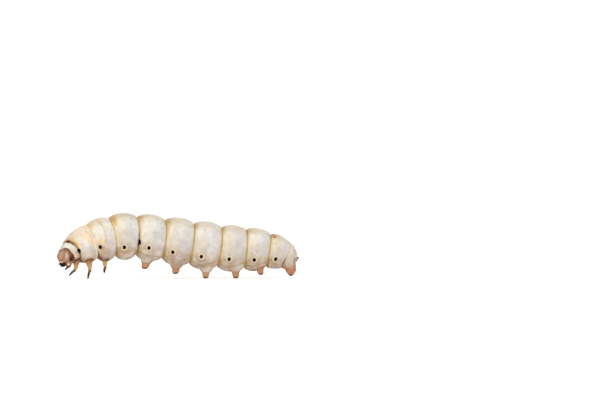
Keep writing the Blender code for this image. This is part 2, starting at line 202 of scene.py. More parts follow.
def buildTube(name, stops, steps=8, pinches=()):
    # a bevelled curve through the stops, made a mesh; a pinch is a stop, a width and a depth
    path = smoothPath(stops, steps)
    curve = bpy.data.curves.new(name, "CURVE")
    curve.dimensions = "3D"
    curve.bevel_depth = mm
    curve.bevel_resolution = 6
    curve.use_fill_caps = True
    line = curve.splines.new("POLY")
    line.points.add(len(path) - 1)
    for k, (point, (place, radius)) in enumerate(zip(line.points, path)):
        for at, span, depth in pinches:
            radius = radius * (1 - depth * math.exp(-((k / steps - at) / span) ** 2))
        point.co = (*toWorld(place), 1)
        point.radius = radius
    piece = bpy.data.objects.new(name, curve)
    bpy.context.scene.collection.objects.link(piece)
    deselectAll()
    piece.select_set(True)
    bpy.context.view_layer.objects.active = piece
    bpy.ops.object.convert(target="MESH")
    piece = bpy.context.object
    closeMesh()
    spots = np.zeros(3 * len(piece.data.vertices))
    piece.data.vertices.foreach_get("co", spots)
    line = toWorld([place for place, radius in path])
    nearest = np.linalg.norm(spots.reshape(-1, 1, 3) - line, axis=2).argmin(axis=1)
    writeMask(piece, "along", nearest / (len(path) - 1))
    return piece


def smoothPath(stops, steps):
    ends = [stops[0]] + stops + [stops[-1]]
    path = []
    for a, b, c, d in zip(ends, ends[1:], ends[2:], ends[3:]):
        for k in range(steps):
            s = k / steps
            weights = ((-s + 2 * s**2 - s**3) / 2, (2 - 5 * s**2 + 3 * s**3) / 2,
                       (s + 4 * s**2 - 3 * s**3) / 2, (s**3 - s**2) / 2)
            place = sum((Vector(f[0]) * w for f, w in zip((a, b, c, d), weights)), Vector())
            path.append((place, sum(f[1] * w for f, w in zip((a, b, c, d), weights))))
    return path + [(Vector(stops[-1][0]), stops[-1][1])]


def finishPiece(piece, finish, slot, *nodes):
    piece.data.materials.clear()
    piece.data.materials.append(finish)
    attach(piece, "root")
    if nodes:
        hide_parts(*nodes)
    return piece


# Material helpers

def newMaterial(name):
    made = bpy.data.materials.new(name)
    made.use_nodes = True
    return made, made.node_tree, made.node_tree.nodes["Principled BSDF"]


def addNode(tree, kind, inputs=None, **settings):
    made = tree.nodes.new(kind)
    for key, value in settings.items():
        setattr(made, key, value)
    for key, value in (inputs or {}).items():
        if isinstance(value, bpy.types.NodeSocket):
            tree.links.new(value, made.inputs[key])
        else:
            made.inputs[key].default_value = value
    return made


def maskOf(tree, title):
    return addNode(tree, "ShaderNodeAttribute", attribute_name=title).outputs["Fac"]


def layTone(tree, under, tone, share, blend="MIX"):
    # one coat of colour over another, as strong as share
    coat = addNode(tree, "ShaderNodeMix", data_type="RGBA", blend_type=blend)
    for socket, value in ((coat.inputs[0], share), (coat.inputs[6], under), (coat.inputs[7], tone)):
        if isinstance(value, bpy.types.NodeSocket):
            tree.links.new(value, socket)
        else:
            socket.default_value = value
    return coat.outputs[2]


def layCoats(tree, tone, coats):
    # coats named after the masks they follow: colour and strength
    for title, (rgb, share) in coats.items():
        tone = layTone(tree, tone, toneOf(rgb), times(tree, maskOf(tree, title), share))
    return tone


def times(tree, a, b):
    return addNode(tree, "ShaderNodeMath", {0: a, 1: b}, operation="MULTIPLY").outputs[0]


def plus(tree, a, b):
    return addNode(tree, "ShaderNodeMath", {0: a, 1: b}, operation="ADD").outputs[0]


def stretch(tree, value, low, high, start, end):
    # what runs from low to high, stretched to run from start to end
    return addNode(tree, "ShaderNodeMapRange", {0: value, 1: low, 2: high, 3: start, 4: end}).outputs[0]


def toneOf(rgb):
    # picture colour to the light it stands for
    parts = [c / 255 for c in rgb]
    return [c / 12.92 if c <= 0.04045 else ((c + 0.055) / 1.055) ** 2.4 for c in parts] + [1.0]


def grainGroup():
    # skin and shell grain: mottling and a height from the place on the piece
    group = bpy.data.node_groups.new("fineGrain", "ShaderNodeTree")
    for way, titles in (("INPUT", ("Mottle Size", "Grain Size")), ("OUTPUT", ("Mottle", "Height"))):
        for title in titles:
            group.interface.new_socket(title, in_out=way, socket_type="NodeSocketFloat")
    into = group.nodes.new("NodeGroupInput")
    out = group.nodes.new("NodeGroupOutput")
    place = addNode(group, "ShaderNodeTexCoord").outputs["Object"]
    mottle = addNode(group, "ShaderNodeTexNoise", {"Vector": place, "Scale": into.outputs[0],
                                                   "Detail": 5.0, "Roughness": 0.6})
    pores = addNode(group, "ShaderNodeTexVoronoi", {"Vector": place, "Scale": into.outputs[1]})
    fine = addNode(group, "ShaderNodeTexNoise", {"Vector": place, "Scale": into.outputs[1],
                                                 "Detail": 3.0})
    height = plus(group, times(group, pores.outputs["Distance"], 0.6), fine.outputs["Fac"])
    group.links.new(mottle.outputs["Fac"], out.inputs["Mottle"])
    group.links.new(height, out.inputs["Height"])
    return group


def placeGrain(tree, group, mottleSize, grainSize):
    made = tree.nodes.new("ShaderNodeGroup")
    made.node_tree = group
    made.inputs["Mottle Size"].default_value = mottleSize
    made.inputs["Grain Size"].default_value = grainSize
    return made


def addBump(tree, shader, height, strength, depth):
    dent = addNode(tree, "ShaderNodeBump", {"Height": height, "Strength": strength, "Distance": depth})
    tree.links.new(dent.outputs["Normal"], shader.inputs["Normal"])


def addGloss(tree, shader, specks, smooth, rough, specular):
    # roughness that follows the mottling
    share = stretch(tree, specks.outputs["Mottle"], 0.3, 0.7, smooth, rough)
    tree.links.new(share, shader.inputs["Roughness"])
    shader.inputs["Specular IOR Level"].default_value = specular


# Camera, floor and light

view = {
    "azimuth": -5, "elevation": 1.5,
    "lens": 800.0, "sensor": 36.0,
    "mmPerPixel": 0.105, "width": 602, "height": 408,
    "larvaColumn": 177.75,      # picture column over the body's own origin
    "floorRow": 278.2,          # picture row of the soles
}


def buildCamera():
    a = math.radians(view["azimuth"])
    e = math.radians(view["elevation"])
    back = Vector((math.sin(a) * math.cos(e), -math.cos(a) * math.cos(e), math.sin(e)))
    right = Vector((math.cos(a), math.sin(a), 0))
    up = back.cross(right)
    middle = shift + right * (view["width"] / 2 - view["larvaColumn"]) * view["mmPerPixel"]
    middle = middle + up * (view["floorRow"] - view["height"] / 2) * view["mmPerPixel"]
    distance = view["width"] * view["mmPerPixel"] * view["lens"] / view["sensor"]
    lens = bpy.data.cameras.new("camera")
    lens.lens = view["lens"]
    lens.sensor_width = view["sensor"]
    lens.clip_start = 0.01
    lens.clip_end = 20
    camera = bpy.data.objects.new("camera", lens)
    bpy.context.scene.collection.objects.link(camera)
    camera.location = (middle + back * distance) * mm
    camera.rotation_euler = back.to_track_quat("Z", "Y").to_euler()
    bpy.context.scene.camera = camera
    print("camera", distance, "mm away")


studio = {
    "half": 1.6, "wall": 2.4, "bend": 0.4, "bendSteps": 24, "drop": 0.00002,
    "floorTone": (0.93, 0.93, 0.93, 1), "floorGlow": 0.42, "sky": 0.55,
    "lamps": {                  # place, size and power
        "key": ((-0.09, -0.14, 0.24), 0.12, 0.28),
        "fill": ((0.16, -0.20, 0.10), 0.20, 0.04),
        "side": ((-0.22, -0.14, 0.07), 0.16, 0.05),
    },
}


def buildStudio():
    deselectAll()
    bpy.ops.mesh.primitive_plane_add(size=2 * studio["half"], location=(0, 0, -studio["drop"]))
    floor = bpy.context.object
    floor.name = "floor"
    bpy.ops.object.mode_set(mode="EDIT")
    bpy.ops.mesh.select_mode(type="EDGE")
    bpy.ops.mesh.select_all(action="DESELECT")
    shape = bmesh.from_edit_mesh(floor.data)
    for edge in shape.edges:
        edge.select = all(vert.co.y > 0 for vert in edge.verts)
    bmesh.update_edit_mesh(floor.data)
    bpy.ops.mesh.extrude_region_move(TRANSFORM_OT_translate={"value": (0, 0, studio["wall"])})
    bpy.ops.mesh.select_all(action="SELECT")
    bpy.ops.object.mode_set(mode="OBJECT")
    bend = floor.modifiers.new("bend", "BEVEL")
    bend.width = studio["bend"]
    bend.segments = studio["bendSteps"]
    bpy.ops.object.modifier_apply(modifier="bend")
    bpy.ops.object.shade_smooth()
    paper, _, shader = newMaterial("studioPaper")
    shader.inputs["Base Color"].default_value = studio["floorTone"]
    shader.inputs["Roughness"].default_value = 0.9
    shader.inputs["Specular IOR Level"].default_value = 0.1
    shader.inputs["Emission Color"].default_value = (1, 1, 1, 1)
    shader.inputs["Emission Strength"].default_value = studio["floorGlow"]
    floor.data.materials.append(paper)

    world = bpy.data.worlds.new("studio")
    world.use_nodes = True
    sky = world.node_tree.nodes["Background"]
    sky.inputs["Color"].default_value = (1, 1, 1, 1)
    sky.inputs["Strength"].default_value = studio["sky"]
    bpy.context.scene.world = world

    for word, (place, size, power) in studio["lamps"].items():
        lamp = bpy.data.lights.new(word, "AREA")
        lamp.shape = "DISK"
        lamp.size = size
        lamp.energy = power
        holder = bpy.data.objects.new(word, lamp)
        bpy.context.scene.collection.objects.link(holder)
        holder.location = place
        holder.rotation_euler = Vector(place).to_track_quat("Z", "Y").to_euler()
    bpy.context.scene.view_settings.view_transform = "Standard"
    print("studio ready")


# Skin

skinPlan = {
    "columns": 236, "bellyDensity": 16.0,
    "footRows": 40, "plainRows": 29, "tailRows": 30, "lipRows": 6,
    "crowding": 0.45,           # how much closer the rings lie beside a furrow
    "inset": 0.02,              # how far the skin lies inside the solids
    "crease": 0.10, "creaseWidth": 0.085,
    "creaseShare": [0.5, 1.0, 0.22, 0.9, 1.0, 1.0, 1.0, 1.0, 1.0, 1.0, 0.3],
    "tailFill": 0.11, "tailFillReach": 0.30, "tailDraw": 0.13, "tailDrawSpan": (0.2, 0.6),
    "tailCalm": (0.5, 1.0),     # where the ripple of the tail dies away
    "lipReach": 0.24, "lipTurn": 0.36,
    "ripple": 0.018, "rippleSize": 0.8, "fineRipple": 0.007, "fineSize": 2.6,
    "crest": (0.02, 0.24, 0.12),                     # beside each fold: height, distance, width
    "saddle": (0.014, 0.72, 0.04),                   # dent across each back: depth, share, width
    # folds of both flanks: stops of share and angle, depth and width, and how dark the painted shade along
    # the line is
    "folds": [
        {"segment": 1, "path": [(0.72, 34), (0.80, 52), (0.85, 70), (0.86, 92), (0.78, 112)],
         "depth": 0.045, "width": 0.10, "dark": 0.18},
        {"segment": 2, "path": [(0.36, 0), (0.39, 17), (0.52, 45), (0.57, 60), (0.56, 82), (0.5, 100)],
         "depth": 0.05, "width": 0.12, "dark": 0.22},
        {"segment": 3, "path": [(0.12, 130), (0.48, 132), (0.88, 127)], "depth": 0.05, "width": 0.11,
         "dark": 0.3},
        {"segment": 4, "path": [(0.10, 138), (0.26, 139.5), (0.62, 139.5), (0.90, 145)],
         "depth": 0.075, "width": 0.11, "dark": 0.4},
        {"segment": 5, "path": [(0.12, 150), (0.3, 144), (0.46, 142.5), (0.85, 138)],
         "depth": 0.075, "width": 0.11, "dark": 0.45},
        {"segment": 6, "path": [(0.08, 142), (0.40, 143), (0.62, 137), (0.88, 132)],
         "depth": 0.075, "width": 0.11, "dark": 0.4},
        {"segment": 7, "path": [(0.10, 145), (0.22, 143.5), (0.40, 141), (0.78, 133), (0.9, 131)],
         "depth": 0.075, "width": 0.11, "dark": 0.45},
        {"segment": 8, "path": [(0.12, 141), (0.36, 137.5), (0.6, 133), (0.88, 131)],
         "depth": 0.07, "width": 0.11, "dark": 0.4},
        {"segment": 9, "path": [(0.25, 137), (0.60, 133.5), (0.85, 132)], "depth": 0.05,
         "width": 0.10, "dark": 0.3},
    ],
    # patches of tone on both flanks: segment and share of it, angle from the middle of the back,
    # reach along, reach round, strength
    "patches": {
        # cream patches, partly painted light: on the collar they brighten where the lamps leave it dim
        "cream": [(0.44, 25, 0.26, 45, 1.2), (0.38, 62, 0.24, 24, 1.1), (1.92, 130, 0.1, 20, 1.0),
                  (1.92, 108, 0.1, 16, 1.0), (2.96, 60, 0.08, 40, 0.9), (0.16, 50, 0.1, 40, 1.0),
                  (0.9, 20, 0.12, 40, 0.8), (9.42, 12, 0.22, 20, 0.8), (2.06, 124, 0.1, 14, 0.6),
                  (2.72, 52, 0.14, 22, 0.5), (9.25, 58, 0.16, 22, 0.6), (3.24, 54, 0.12, 12, 0.6),
                  (4.26, 54, 0.14, 12, 0.4), (2.46, 66, 0.1, 16, 0.6), (8.22, 62, 0.12, 18, 0.4)],
        "pink": [(0.44, 92, 0.24, 22, 1.0), (0.24, 80, 0.1, 26, 0.7), (1.99, 92, 0.04, 26, 0.4),
                 (8.72, 138, 0.12, 10, 0.4), (9.98, 66, 0.03, 30, 0.5), (6.9, 140, 0.08, 12, 0.3)],
        "honey": [(1.1, 30, 0.07, 30, 0.8), (1.66, 66, 0.12, 14, 0.9), (1.5, 44, 0.14, 24, 1.0),
                  (1.88, 70, 0.08, 18, 1.2), (1.5, 30, 0.12, 13, 1.0), (1.67, 48, 0.14, 13, 1.0),
                  (1.8, 66, 0.14, 15, 1.0), (1.9, 26, 0.12, 26, 0.8), (1.84, 88, 0.12, 12, 0.7),
                  (2.06, 34, 0.1, 34, 0.6), (2.46, 28, 0.06, 18, 0.6), (2.36, 94, 0.14, 14, 0.5),
                  (1.66, 4, 0.16, 16, 0.7), (1.25, 6, 0.22, 14, 0.6), (3.16, 40, 0.1, 30, 0.5)],
        "apricot": [(1.74, 69, 0.08, 9, 0.9), (1.9, 70, 0.06, 11, 0.8), (1.08, 46, 0.045, 14, 0.6),
                    (1.5, 36, 0.06, 9, 0.6), (2.24, 98, 0.08, 8, 0.4), (1.66, 50, 0.07, 8, 0.5)],
        "ochre": [(3.1, 28, 0.075, 24, 1.0), (3.08, 48, 0.06, 12, 0.7), (4.09, 28, 0.06, 18, 0.7),
                  (5.09, 30, 0.06, 18, 0.7), (5.07, 60, 0.05, 18, 0.5), (6.09, 28, 0.06, 18, 0.6),
                  (7.09, 28, 0.06, 18, 0.6), (8.09, 28, 0.06, 18, 0.6), (9.1, 30, 0.07, 12, 0.7),
                  (1.05, 36, 0.035, 34, 0.7)],
        # pearly white patches, partly a painted highlight on the flanks
        "pearl": [(1.4, 76, 0.2, 24, 1.0), (1.4, 118, 0.3, 14, 0.8), (2.12, 62, 0.1, 18, 0.6),
                  (2.8, 72, 0.12, 22, 0.9), (9.8, 66, 0.12, 20, 0.5), (10.3, 70, 0.2, 22, 0.3)],
        "lilac": [(2.76, 104, 0.14, 16, 0.9), (1.6, 112, 0.14, 12, 0.7), (2.78, 128, 0.18, 12, 0.6),
                  (9.84, 80, 0.08, 18, 0.5), (3.78, 108, 0.12, 16, 0.6), (4.78, 110, 0.14, 16, 0.6),
                  (5.76, 108, 0.12, 16, 0.5), (4.64, 128, 0.14, 12, 0.5), (5.64, 128, 0.12, 12, 0.6)],
        "tan": [(10.5, 64, 0.2, 30, 0.35), (10.84, 62, 0.1, 22, 0.4), (10.1, 110, 0.14, 10, 0.5),
                (2.1, 112, 0.12, 14, 0.5), (2.28, 112, 0.14, 12, 0.7), (0.72, 106, 0.16, 20, 0.9),
                (0.84, 84, 0.12, 14, 1.0), (9.1, 128, 0.12, 22, 0.8), (9.2, 112, 0.12, 12, 0.6),
                (3.2, 110, 0.12, 22, 0.5), (3.5, 136, 0.4, 16, 0.5), (0.12, 100, 0.08, 36, 0.5),
                (0.78, 4, 0.1, 18, 0.2), (1.62, 132, 0.3, 8, 0.2)],
        "olive": [(9.985, 108, 0.035, 14, 0.45), (0.9, 98, 0.05, 13, 0.7), (0.97, 118, 0.05, 14, 0.8),
                  (2.03, 140, 0.06, 14, 0.3)],
        # deep brown patches, partly painted shade low on the thorax round the legs
        "umber": [(9.98, 122, 0.035, 10, 0.5), (0.36, 129, 0.18, 11, 1.0), (0.7, 130, 0.2, 12, 1.0),
                  (0.08, 100, 0.08, 32, 0.9), (1.06, 156, 0.14, 14, 1.0), (1.5, 156, 0.18, 13, 1.0),
                  (2.1, 156, 0.14, 13, 0.6), (0.95, 98, 0.05, 16, 0.8), (2.46, 157, 0.14, 10, 0.6),
                  (3.985, 112, 0.035, 14, 0.8), (0.14, 108, 0.1, 14, 0.6), (0.97, 124, 0.05, 12, 0.5)],
    },
    # painted shade: tan just past the middle of the back, darker along its top edge; here an angle to the
    # right is below zero
    "ridgeShade": [(0.4, -16, 0.4, 13, 0.7), (0.7, -12, 0.16, 12, 1.0), (1.48, -15, 0.3, 14, 1.0),
              (9.5, -18, 0.3, 12, 0.3)],
    # dark spots on both flanks: segment, share, angle, radius, mask
    "spots": [
        (4, 0.02, 105, 0.15, "black"), (4, 0.035, 111, 0.17, "black"), (9, 0.14, 34, 0.11, "brown"),
        (1, 0.03, 153, 0.17, "brown"), (1, 0.48, 146.5, 0.19, "brown"), (2, 0.46, 156, 0.15, "brown"),
    ],
    "tailSpots": [((12.10, 0.80, 2.37), 0.10), ((11.82, 1.10, 1.95), 0.06), ((12.40, 0.18, 2.00), 0.11)],
    "seamSpots": [(3, 0.12, 11), (-44, 0.15, 10), (30, 0.05, 8)],    # angle, reach along, reach round
    # angles from the middle of the back where a band of tone or relief starts and is full; the flank, belly
    # and under bands hold painted shade that deepens towards the underside
    "bands": {"flank": (62, 92), "belly": (92, 132), "under": (134, 164), "back": (18, 56),
              "underside": (114, 140), "saddle": (70, 115), "seam": (112, 88),
              "tailFill": (112, 80), "tailDraw": (125, 95)},
    # tone that dies away behind and in front of each furrow: both reaches, share in front
    "fades": {"glow": (0.30, 0.12, 0.5), "notch": (0.42, 0.14, 1.0), "underNotch": (0.22, 0.12, 1.0)},
    # stripes along the body: angle and reach; the one at 52 degrees from the back is a painted highlight
    "stripes": {"shoulder": (29, 13), "bright": (52, 15), "cool": (76, 42), "jointLine": (88, 14)},
    "coolAt": (0.78, 0.18),                                    # share of a segment, reach
    "firstFurrow": 0.4, "frontShoulder": 0.5,                  # fainter tones in front
    # the neck keys set the painted shadow where the collar meets the head
    "neckShadowLine": 0.045, "neckShadowFade": 0.85, "neckShadowFar": (20, 55),  # the dark neck fades on the right
    "seamLines": [(0.085, 0.035, 1.0), (-0.02, 0.03, 0.7)],    # place, width, strength
    "jointLine": (3.8, 4.2, 0.07, 0.7),                        # from, to, width, strength
    "tail": {
        "top": 1.14, "rise": 0.7, "riseFrom": 11.85,           # height where the brown of the feet starts
        "edge": (0.20, -0.26), "wander": 0.15, "front": (10.75, 11.2),
        "rear": (12.02, 12.26), "rearShare": 0.15,
        "rearDabs": [(1.92, 0.26, 0.75), (0.98, 0.25, 0.5)],   # height, reach, strength
        "frontDab": (11.42, 0.20, 0.84, 0.17, 0.55),           # place, reach, height, reach, strength
        "frontWander": 0.1,
    },
}

def ringOf(segment, u, centre, forward, sizes, length, lip=0.0):
    # a ring lies at share u of its segment; lip is 1 on the rings inside the head
    high, low, wide = sizes
    return {"segment": segment, "u": u, "centre": centre, "forward": forward,
            "high": high, "low": low, "wide": wide, "length": length, "lip": lip}


def trunkRows():
    # every ring of the skin, from inside the head to the tail
    furrows = bodyPlan["furrows"]
    sizes = [np.array((furrow["high"], furrow["low"], furrow["wide"])) for furrow in furrows]
    neck, last = furrows[0], furrows[-1]
    forward = ringAxes(neck["pitch"], neck["yaw"])[0]
    rows = []
    for k in range(skinPlan["lipRows"], 0, -1):
        turn = math.pi / 2 * k / skinPlan["lipRows"]
        centre = Vector(neck["centre"]) + forward * skinPlan["lipReach"] * math.sin(turn)
        size = 1 - skinPlan["lipTurn"] * (1 - math.cos(turn))
        rows.append(ringOf(0, 0.0, centre, forward, sizes[0] * size, 1.0, 1.0))
    rows.insert(0, dict(rows[0], high=0.0, low=0.0, wide=0.0))        # closes the neck inside the head
    for index, (back, flank, belly) in enumerate(bodyPlan["swell"]):
        start, end = furrows[index], furrows[index + 1]
        count = skinPlan["footRows"] if 4 <= index <= 8 else skinPlan["plainRows"]
        length = (Vector(end["centre"]) - Vector(start["centre"])).length
        for k in range(count):
            t = k / count
            u = mix(t, 0.5 - 0.5 * math.cos(math.pi * t), skinPlan["crowding"])
            pillow = 1 - abs(2 * u - 1) ** bodyPlan["pillow"]
            size = mix(sizes[index], sizes[index + 1], u) + np.array((back, belly, flank)) * pillow
            rows.append(ringOf(index, u, *spineAt(index, u), size, length))
    start = ringAxes(last["pitch"], last["yaw"])[0]
    end = ringAxes(bodyPlan["tailPitch"], last["yaw"])[0]
    for k in range(skinPlan["tailRows"] + 1):
        u = math.sin(math.pi / 2 * k / skinPlan["tailRows"])
        forward = start.lerp(end, u).normalized()
        centre = Vector(last["centre"]) - forward * bodyPlan["tailLength"] * u
        size = max(0.0, 1 - u ** bodyPlan["tailRoundness"]) ** 0.5
        rows.append(ringOf(10, u, centre, forward, sizes[-1] * size, bodyPlan["tailLength"]))
    return rows


def sectionPoint(row, angle):
    # place on a ring, at an angle from the middle of the back
    forward = row["forward"]
    left = Vector((0, 0, 1)).cross(forward).normalized()
    up = forward.cross(left)
    rise = math.cos(math.radians(angle))
    side = math.sin(math.radians(angle))
    tall = row["high"] if rise > 0 else row["low"]
    return row["centre"] + up * rise * tall + left * side * row["wide"]


def rowAt(rows, index, u):
    found = [row for row in rows if row["segment"] == index and not row["lip"]]
    return min(found, key=lambda row: abs(row["u"] - u))


def pathDistance(along, around, path):
    # distance of every point from a line of stops, all in millimetres
    best = np.full(along.shape, farOff)
    for (ax, ay), (bx, by) in zip(path, path[1:]):
        dx, dy = bx - ax, by - ay
        t = np.clip(((along - ax) * dx + (around - ay) * dy) / (dx * dx + dy * dy), 0, 1)
        best = np.minimum(best, np.hypot(along - ax - t * dx, around - ay - t * dy))
    return best


def holeMarks(rows, base):
    # distance from the nearest hole and the nearest ringed one, the shade below a ring and the dash before it
    plan = spiraclePlan
    holes = np.full(base.shape[:2], farOff)
    ringed = holes.copy()
    shade = np.zeros(base.shape[:2])
    dash = shade.copy()
    for index, (share, at) in plan["places"].items():
        for side in (1, -1):
            gap = base - np.array(sectionPoint(rowAt(rows, index, share), side * at))
            apart = np.linalg.norm(gap, axis=2)
            holes = np.minimum(holes, apart)
            if index < plan["firstRinged"]:
                continue
            ringed = np.minimum(ringed, apart)
            slope = (gap[..., 2] + plan["shadeLean"] * gap[..., 0]) / np.maximum(apart, 0.01)
            shade = np.maximum(shade, bump(apart - plan["shade"][0], plan["shade"][1])
                               * np.clip(0.5 - 0.5 * slope, 0, 1))
            mark = np.linalg.norm((gap + plan["dashAhead"]) * plan["dashShape"], axis=2)
            dash = np.maximum(dash, bump(mark, plan["dashSize"]))
    return holes, ringed, shade, dash


def legMarks(base):
    # how far the skin swells round the root of each leg, and the shade round it
    (high, wide), (at, width) = legPlan["swell"], legPlan["shade"]
    swell = np.zeros(base.shape[:2])
    shade = swell.copy()
    for leg in legPlan["legs"]:
        root = np.array(leg["root"])
        along = np.array(leg["knee"]) - root
        share = np.clip(((base - root) @ along) / (along @ along), 0, 1)
        gap = np.linalg.norm(base - root - share[..., None] * along, axis=2)
        swell += high * bump(gap, wide)
        shade = np.maximum(shade, bump(gap - at, width))
    return swell, shade


def spotMarks(rows, base, segment):
    spots = {"black": np.zeros(segment.shape), "brown": np.zeros(segment.shape)}
    for side in (1, -1):
        for index, share, at, size, mask in skinPlan["spots"]:
            spot = np.array(sectionPoint(rowAt(rows, index, share), side * at))
            apart = np.linalg.norm(base - spot, axis=2)
            spots[mask] = np.maximum(spots[mask], ease(size * 1.2, size * 0.6, apart))
        for (x, y, z), size in skinPlan["tailSpots"]:
            apart = np.linalg.norm((base - (x, side * y, z)) * (1, 0.5, 1), axis=2)
            spots["brown"] = np.maximum(spots["brown"], bump(apart, size) * (segment == 10))
    foot = bump(np.linalg.norm(base - hornPlan["foot"], axis=2), hornPlan["footReach"])
    spots["brown"] = np.maximum(spots["brown"], foot * (segment == 10))
    return spots


def tailMarks(points, fine):
    # the brown of the anal feet, and the darker dabs behind and before them
    plan = skinPlan["tail"]
    x, z = points[..., 0], points[..., 2]
    top = plan["top"] + plan["rise"] * np.maximum(x - plan["riseFrom"], 0) + plan["wander"] * fine
    feet = ease(*plan["edge"], z - top) * ease(*plan["front"], x)
    rear = plan["rearShare"] + sum(share * bump(z - at, reach) for at, reach, share in plan["rearDabs"])
    at, reach, height, tall, share = plan["frontDab"]
    front = share * bump(x - at - plan["frontWander"] * fine, reach) * bump(z - height, tall)
    return feet, np.maximum(ease(*plan["rear"], x) * rear, front)


